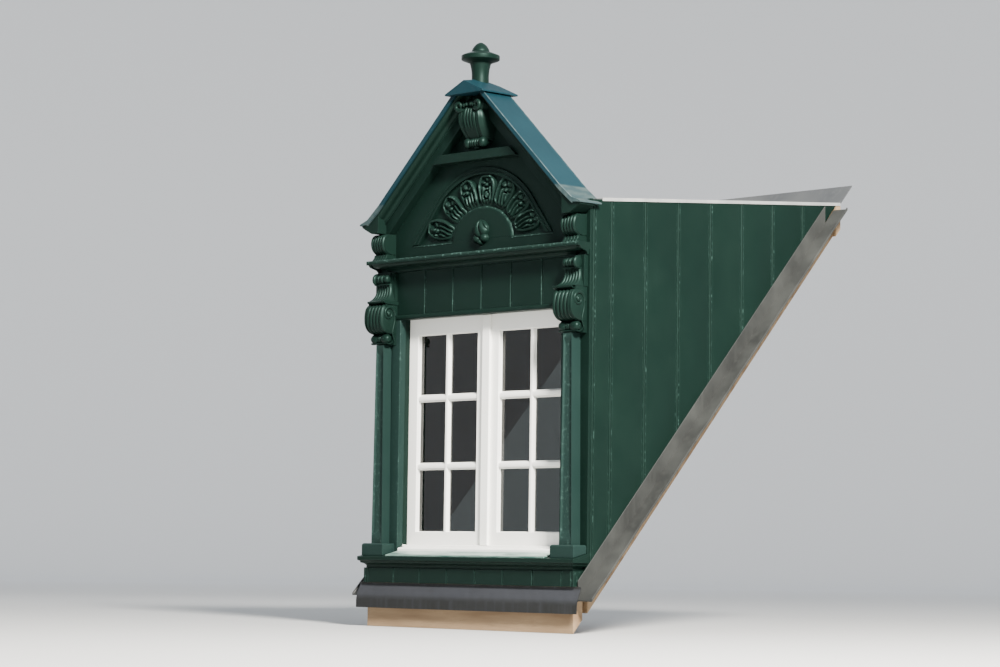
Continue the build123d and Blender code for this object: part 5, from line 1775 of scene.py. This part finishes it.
@dataclass(frozen=True)
class ApexScroll:
    """Hanging scroll under the apex: two curls, a ribbed and leafy body and a banded roll.

    path is (out, height, half width), roll_beads (place, half length, radius), and blocks are
    the corners of the plain blocks behind the carving.
    """

    panel: float = 0.006
    path: Beads = (
        (0.082, 2.682, 0.062), (0.098, 2.668, 0.078), (0.107, 2.640, 0.092),
        (0.106, 2.604, 0.097), (0.094, 2.566, 0.092), (0.072, 2.530, 0.082),
        (0.046, 2.496, 0.072),
    )
    rib_count: int = 4
    rib_share: float = 0.46
    rib: float = 0.011
    curl_place: tuple[float, float] = (0.069, 2.677)
    curl_face: float = 0.100
    curl: tuple[float, float] = (0.0255, 0.012)
    curl_turns: float = 1.05
    curl_bar: tuple[float, float] = (0.0130, 0.0085)
    buds: Beads = ((0.034, 2.680, 0.0105), (0.017, 2.683, 0.0095))
    seat: Line = (
        (0.0, 0.004), (0.020, 0.004), (0.027, 0.008), (0.031, 0.014), (0.031, 0.100),
        (0.0, 0.100),
    )
    roll_place: tuple[float, float] = (0.044, 2.485)
    roll_beads: Beads = (
        (-0.055, 0.023, 0.0285), (-0.026, 0.010, 0.0230), (-0.009, 0.010, 0.0245),
        (0.009, 0.010, 0.0245), (0.026, 0.010, 0.0230), (0.055, 0.023, 0.0285),
    )
    drop: Line = ((0.0, -0.036), (0.010, -0.033), (0.017, -0.024), (0.018, -0.012), (0.0, 0.004))
    drop_place: Point = (0.0, -0.030, 2.479)
    blocks: tuple[tuple[Point, Point], ...] = (
        ((-0.060, -0.088, 2.660), (0.060, 0.006, 2.700)),
        ((-0.068, -0.040, 2.475), (0.068, 0.006, 2.502)),
    )

    def body(self, shape: Shape) -> None:
        """Body ring by ring: ribs in the middle, and beside them leaves that lean back.

        With t = (|u| - s) / (1 - s) past the ribs' share s, the face lies
        0.012 t + 0.030 t^6 further back, with a swell and a dip of bell curves.

        Args:
            shape: Shape that takes it.
        """
        data = np.array(self.path)
        count = 64
        line = np.column_stack([flowing(data[:, :2], count), flowing(data[:, 1:], count)[:, 1]])
        u = np.linspace(-1, 1, 161)
        s = self.rib_share
        t = np.clip((np.abs(u) - s) / (1 - s), 0, 1)
        crown = np.where(t > 0, 1.0, reeds(np.clip((u + s) / (2 * s), 0, 1), self.rib_count))
        fade = step(line[:, 1], 2.535, 2.585)
        lean = 0.012 * t + 0.030 * t**6
        lean = lean + 0.009 * bump(t - 0.10, 0.07) - 0.005 * bump(t - 0.55, 0.10)
        spread = 0.010 * (1 - step(line[:, 1], 2.50, 2.60))[:, None]
        x = u[None, :] * line[:, 2, None] + spread * u[None, :] * t[None, :]
        depth = line[:, 0, None] - lean[None, :] + self.rib * (crown[None, :] - 1) * fade[:, None]
        front = surface(x, -np.maximum(depth, 0.012), line[:, 1, None])
        rear = [surface(x[:, end], self.panel, line[:, 1]) for end in (-1, 0)]
        shape.sweep(np.concatenate([front, np.stack(rear, axis=1)], axis=1))

    def curls(self, shape: Shape) -> None:
        """Two fat curls that face the front, their seats and the buds between them.

        Args:
            shape: Shape that takes them.
        """
        face = self.curl_face
        for sign in (-1, 1):
            centre = (sign * self.curl_place[0], self.curl_place[1])
            start = radians(215) if sign > 0 else radians(-35)
            curl = spiral(centre, *self.curl, start, self.curl_turns * sign, 72)
            push = 0.010 * np.sin(np.linspace(0, 1, 72) * pi)
            path = surface(curl[:, 0], -face - push, curl[:, 1])
            shape.tube(path, np.linspace(*self.curl_bar, 72), (0.0, 1.0, 0.0), 16)
            for place, height, radius in self.buds:
                ball = bead(radius, radius, 14)
                shape.lathe(ball, (sign * place, -face - 0.002, height), axis=1, sides=20)
            shape.lathe(np.array(self.seat), (centre[0], -face, centre[1]), axis=1, sides=40)

    def roll(self, shape: Shape) -> None:
        """Roll at the foot: turned beads side by side, the drop under it, and the plain blocks.

        Args:
            shape: Shape that takes it.
        """
        out, height = self.roll_place
        shape.beads((0.0, -out, height), self.roll_beads, 22, 0.8, 32)
        shape.lathe(flowing(self.drop, 20), self.drop_place, axis=2, sides=24)
        for low, high in self.blocks:
            shape.block(low, high)

    def build(self) -> None:
        """Builds the whole scroll."""
        shape = Shape()
        for part in (self.body, self.curls, self.roll):
            part(shape)
        shape.make("apex_scroll", GREEN, ("apex_console",), crease=40)


@dataclass(frozen=True)
class Gable:
    """Panel, mouldings and roof of the gable. flare is (x, drop under the knee)."""

    verge: float = -0.115
    back: float = 0.085
    bead: float = 0.0024
    bead_sink: float = 0.001
    cap_edge: float = 0.130
    eave_back: float = 0.044
    eave_sink: float = 0.003
    flare: Line = ((0.690, 0.0), (0.781, -0.073), (0.840, -0.094))
    ease: float = 0.0015

    def edge_line(self) -> Array:
        """Line of the roof's upper edge, from under the cap to the flare's tip.

        Returns:
            Array of points (x, z).
        """
        knee = float(PLANES.gable(self.flare[0][0]))
        top = (self.cap_edge, float(PLANES.gable(self.cap_edge)))
        return np.array([top] + [(x, knee + drop) for x, drop in self.flare])

    def drip(self, side: Side) -> None:
        """Folded edges of the sheet: thin rolls along the verge, the rear and the eave.

        Args:
            side: Side of the gable.
        """
        line = self.edge_line()
        shape = Shape()
        for y, points in ((self.verge + self.bead, line), (self.back - self.bead, line[:2])):
            spans = zip(points[:-1], points[1:])
            dense = np.vstack([np.linspace(start, end, 12) for start, end in spans])
            moved = np.linalg.norm(np.diff(dense, axis=0), axis=1) > 1e-6
            x, z = dense[np.append(True, moved)].T
            shape.tube(surface(x, y, z - self.bead_sink), self.bead, (0.0, 1.0, 0.0), 10)
        x, z = line[-1] - (self.bead, self.eave_sink)
        eave = np.array([(x, self.verge, z), (x, self.eave_back, z)])
        shape.tube(eave, self.bead, (0.0, 0.0, 1.0), 10)
        # The rolls' paler green is a painted highlight.
        shape.make(side.node("verge_roll"), EDGE_HIGHLIGHT_GREEN, (), side, crease=40)

    def build(self) -> None:
        """Builds the gable's woodwork, roof and cap."""
        for node in ("tympanum_panel", "gable_back", "collar_board", "arch_moulding"):
            eased(node, GREEN, ease=self.ease)
        for side in Side:
            eased(side.node("raking_cornice"), GREEN, ease=self.ease)
            eased(side.node("eave_moulding"), GREEN, ease=self.ease)
            eased(side.node("gable_roof"), SHEET, ease=self.ease)
            self.drip(side)
        eased("cap", SHEET, ease=self.ease)


@dataclass(frozen=True)
class Finial:
    """Turned finial: waisted neck on a plain foot, broad disc and bell dome, as (radius, height).
    """

    centre: float = -0.020
    foot: float = 2.775
    neck: Line = (
        (0.0465, 2.775), (0.0460, 2.820), (0.0462, 2.850), (0.0485, 2.874), (0.0525, 2.894),
        (0.0560, 2.906), (0.060, 2.911),
    )
    disc: Line = (
        (0.064, 2.913), (0.0975, 2.9255), (0.1012, 2.928), (0.1022, 2.931), (0.1022, 2.948),
        (0.1005, 2.951), (0.0960, 2.9535), (0.0660, 2.9650), (0.0520, 2.9700), (0.0480, 2.9725),
    )
    dome: Line = (
        (0.0475, 2.9740), (0.0455, 2.9820), (0.0405, 2.9920), (0.0330, 3.0030), (0.0235, 3.0120),
        (0.0130, 3.0185), (0.0050, 3.0215), (0.0, 3.0216),
    )

    def build(self) -> None:
        """Carries the profile round the axis."""
        foot = [(0.0, self.foot)]
        line = np.vstack([foot, flowing(self.neck, 30), self.disc, flowing(self.dome, 46)])
        shape = Shape()
        shape.lathe(line, (0.0, self.centre, 0.0), axis=2, sides=96)
        shape.make("turned_finial", GREEN, ("finial",), crease=28)


@dataclass(frozen=True)
class Cheek:
    """Boarded side wall, cut to the roof's slope."""

    first_joint: float = 0.148
    spacing: float = 0.2513
    joint_count: int = 7
    front: float = 0.018
    face: float = 0.806
    thickness: float = 0.022
    bead: float = 0.014
    foot_level: float = 0.117
    tip: float = 0.0005

    def foot(self, along: Array) -> Array:
        """Height of the boards' foot, on the slope."""
        return PLANES.roof(along, self.foot_level)

    def head(self, along: Array) -> Array:
        """Height of the boards' head, under the flat roof."""
        return np.maximum(PLANES.flat(along), self.foot(along) + self.tip)

    def build(self, side: Side) -> None:
        """Builds one cheek's boards, each cut below by the slope and above by the flat roof.

        Args:
            side: Side of the dormer.
        """
        back = float(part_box(side.node("cheek_boards"))[1][1])
        inner = [self.first_joint + n * self.spacing for n in range(self.joint_count)]
        boards = Boarding((self.front, *inner, back), self.face, self.thickness, bead=self.bead)
        shape = Shape()
        boards.add(shape, self.foot, self.head, on_cheek)
        shape.make(side.node("cheek_board_row"), GREEN, (side.node("cheek_boards"),), side)


@dataclass(frozen=True)
class FlatRoof:
    """Covering of the flat roof and its edge trims."""

    ease: float = 0.001

    def build(self) -> None:
        """Dresses the covering and eases the trims."""
        eased("roof_covering", COVERING, ease=self.ease)
        for side in Side:
            eased(side.node("roof_trim"), TRIM, ease=self.ease)


@dataclass(frozen=True)
class Lamp:
    """Soft square light: azimuth from the front and height in degrees, distance, side, watts."""

    name: str
    azimuth: float
    height: float
    distance: float
    size: float
    power: float
    tint: Colour

    def build(self, target: Vector) -> None:
        """Hangs the lamp so that it looks at a target.

        Args:
            target: Place that it looks at.
        """
        lamp = bpy.data.lights.new(self.name, "AREA")
        lamp.size, lamp.energy, lamp.color = self.size, self.power, self.tint
        holder = bpy.data.objects.new(self.name, lamp)
        a, e = radians(self.azimuth), radians(self.height)
        away = Vector((sin(a) * cos(e), -cos(a) * cos(e), sin(e)))
        holder.location = target + away * self.distance
        holder.rotation_euler = (-away).to_track_quat("-Z", "Y").to_euler()
        bpy.context.scene.collection.objects.link(holder)


@dataclass(frozen=True)
class Studio:
    """Pale floor that sweeps up into a backdrop, soft lights and the camera."""

    floor_gap: float = 0.001
    floor_radius: float = 24.0
    floor_near: float = 8.0
    sweep: float = 6.0
    wall: float = 12.0
    sides: int = 96
    target: tuple[float, float, float] = (0.0, 0.5, 1.5)
    lamps: tuple[Lamp, ...] = (
        Lamp("key", 63.0, 31.0, 10.0, 1.6, 5600.0, (1.0, 0.965, 0.905)),
        Lamp("fill", -110.0, 30.0, 9.0, 5.0, 120.0, (0.88, 0.94, 1.0)),
        Lamp("top", 165.0, 40.0, 9.0, 5.0, 110.0, (0.90, 0.95, 1.0)),
    )
    air: Colour = (0.86, 0.92, 1.0)
    air_strength: float = 0.66
    camera_place: tuple[float, float, float] = (10.695, -10.160, 0.311)
    yaw: float = radians(46.05)
    tilt: float = radians(4.53)
    roll: float = radians(0.77)
    lens: float = 101.34
    sensor: float = 36.0

    def backdrop(self) -> None:
        """Floor and backdrop: a profile of flat, quarter round and wall carried round."""
        low = float(cad_box[0][2]) - self.floor_gap
        far = self.floor_radius + self.sweep
        curve = np.array((self.floor_radius, self.sweep)) + self.sweep * arc(-pi / 2, 0, 24)
        flat, wall = [(0.01, 0.0), (self.floor_near, 0.0)], [(far, self.sweep + self.wall)]
        radius, height = np.vstack([flat, curve, wall]).T[:, :, None]
        angle = np.linspace(0, 2 * pi, self.sides, endpoint=False)
        net = surface(radius * np.cos(angle), radius * np.sin(angle), height + low)
        index = np.arange(net.size // 3).reshape(net.shape[:2])
        faces = neighbours(np.hstack([index, index[:, :1]])).tolist()
        mesh = bpy.data.meshes.new("studio_floor")
        mesh.from_pydata(net.reshape(-1, 3).tolist(), [], faces + [index[0].tolist()])
        mesh.shade_smooth()
        floor = bpy.data.objects.new("studio_floor", mesh)
        bpy.context.scene.collection.objects.link(floor)
        mesh.materials.append(PAPER.material())

    def camera(self) -> None:
        """Camera at the photograph's place, turn, tilt and roll."""
        data = bpy.data.cameras.new("camera")
        data.sensor_width = self.sensor
        data.lens = self.lens
        data.clip_end = 200.0
        holder = bpy.data.objects.new("camera", data)
        ahead = cos(self.tilt)
        forward = Vector((-sin(self.yaw) * ahead, cos(self.yaw) * ahead, sin(self.tilt)))
        level = Vector((cos(self.yaw), sin(self.yaw), 0.0))
        above = level.cross(forward)
        right = level * cos(self.roll) + above * sin(self.roll)
        up = above * cos(self.roll) - level * sin(self.roll)
        matrix = holder.matrix_world.copy()
        for row in range(3):
            matrix[row][:] = right[row], up[row], -forward[row], self.camera_place[row]
        holder.matrix_world = matrix
        bpy.context.scene.collection.objects.link(holder)
        bpy.context.scene.camera = holder

    def build(self) -> None:
        """Builds the stage."""
        self.backdrop()
        for lamp in self.lamps:
            lamp.build(Vector(self.target))
        world = bpy.data.worlds.new("studio_world")
        world.use_nodes = True
        sky = world.node_tree.nodes["Background"].inputs
        sky["Color"].default_value = (*self.air, 1.0)
        sky["Strength"].default_value = self.air_strength
        bpy.context.scene.world = world
        self.camera()


def main() -> None:
    """Builds the sub-assemblies in order and reports each."""
    logging.basicConfig(level=logging.INFO, format="%(name)s: %(message)s")
    works: list[tuple[str, Callable[[], None]]] = [
        ("studio", Studio().build),
        ("structure", Structure().build),
        ("lead work", LeadWork().build),
        ("apron and sill", Apron().build),
        ("window", Window().build),
        ("frieze and cornice", Frieze().build),
        ("gable", Gable().build),
        ("fan carving", Fan().build),
        ("rosette", Rosette().build),
        ("apex scroll", ApexScroll().build),
        ("finial", Finial().build),
        ("flat roof", FlatRoof().build),
    ]
    pairs = {"pilaster": Pilaster, "console": Console, "end block": EndBlock, "cheek": Cheek}
    for side in Side:
        for label, kind in pairs.items():
            works.append((f"{side.name.lower()} {label}", partial(kind().build, side)))
    for label, build in works:
        build()
        log.info("built %s", label)


if __name__ == "__main__":
    main()
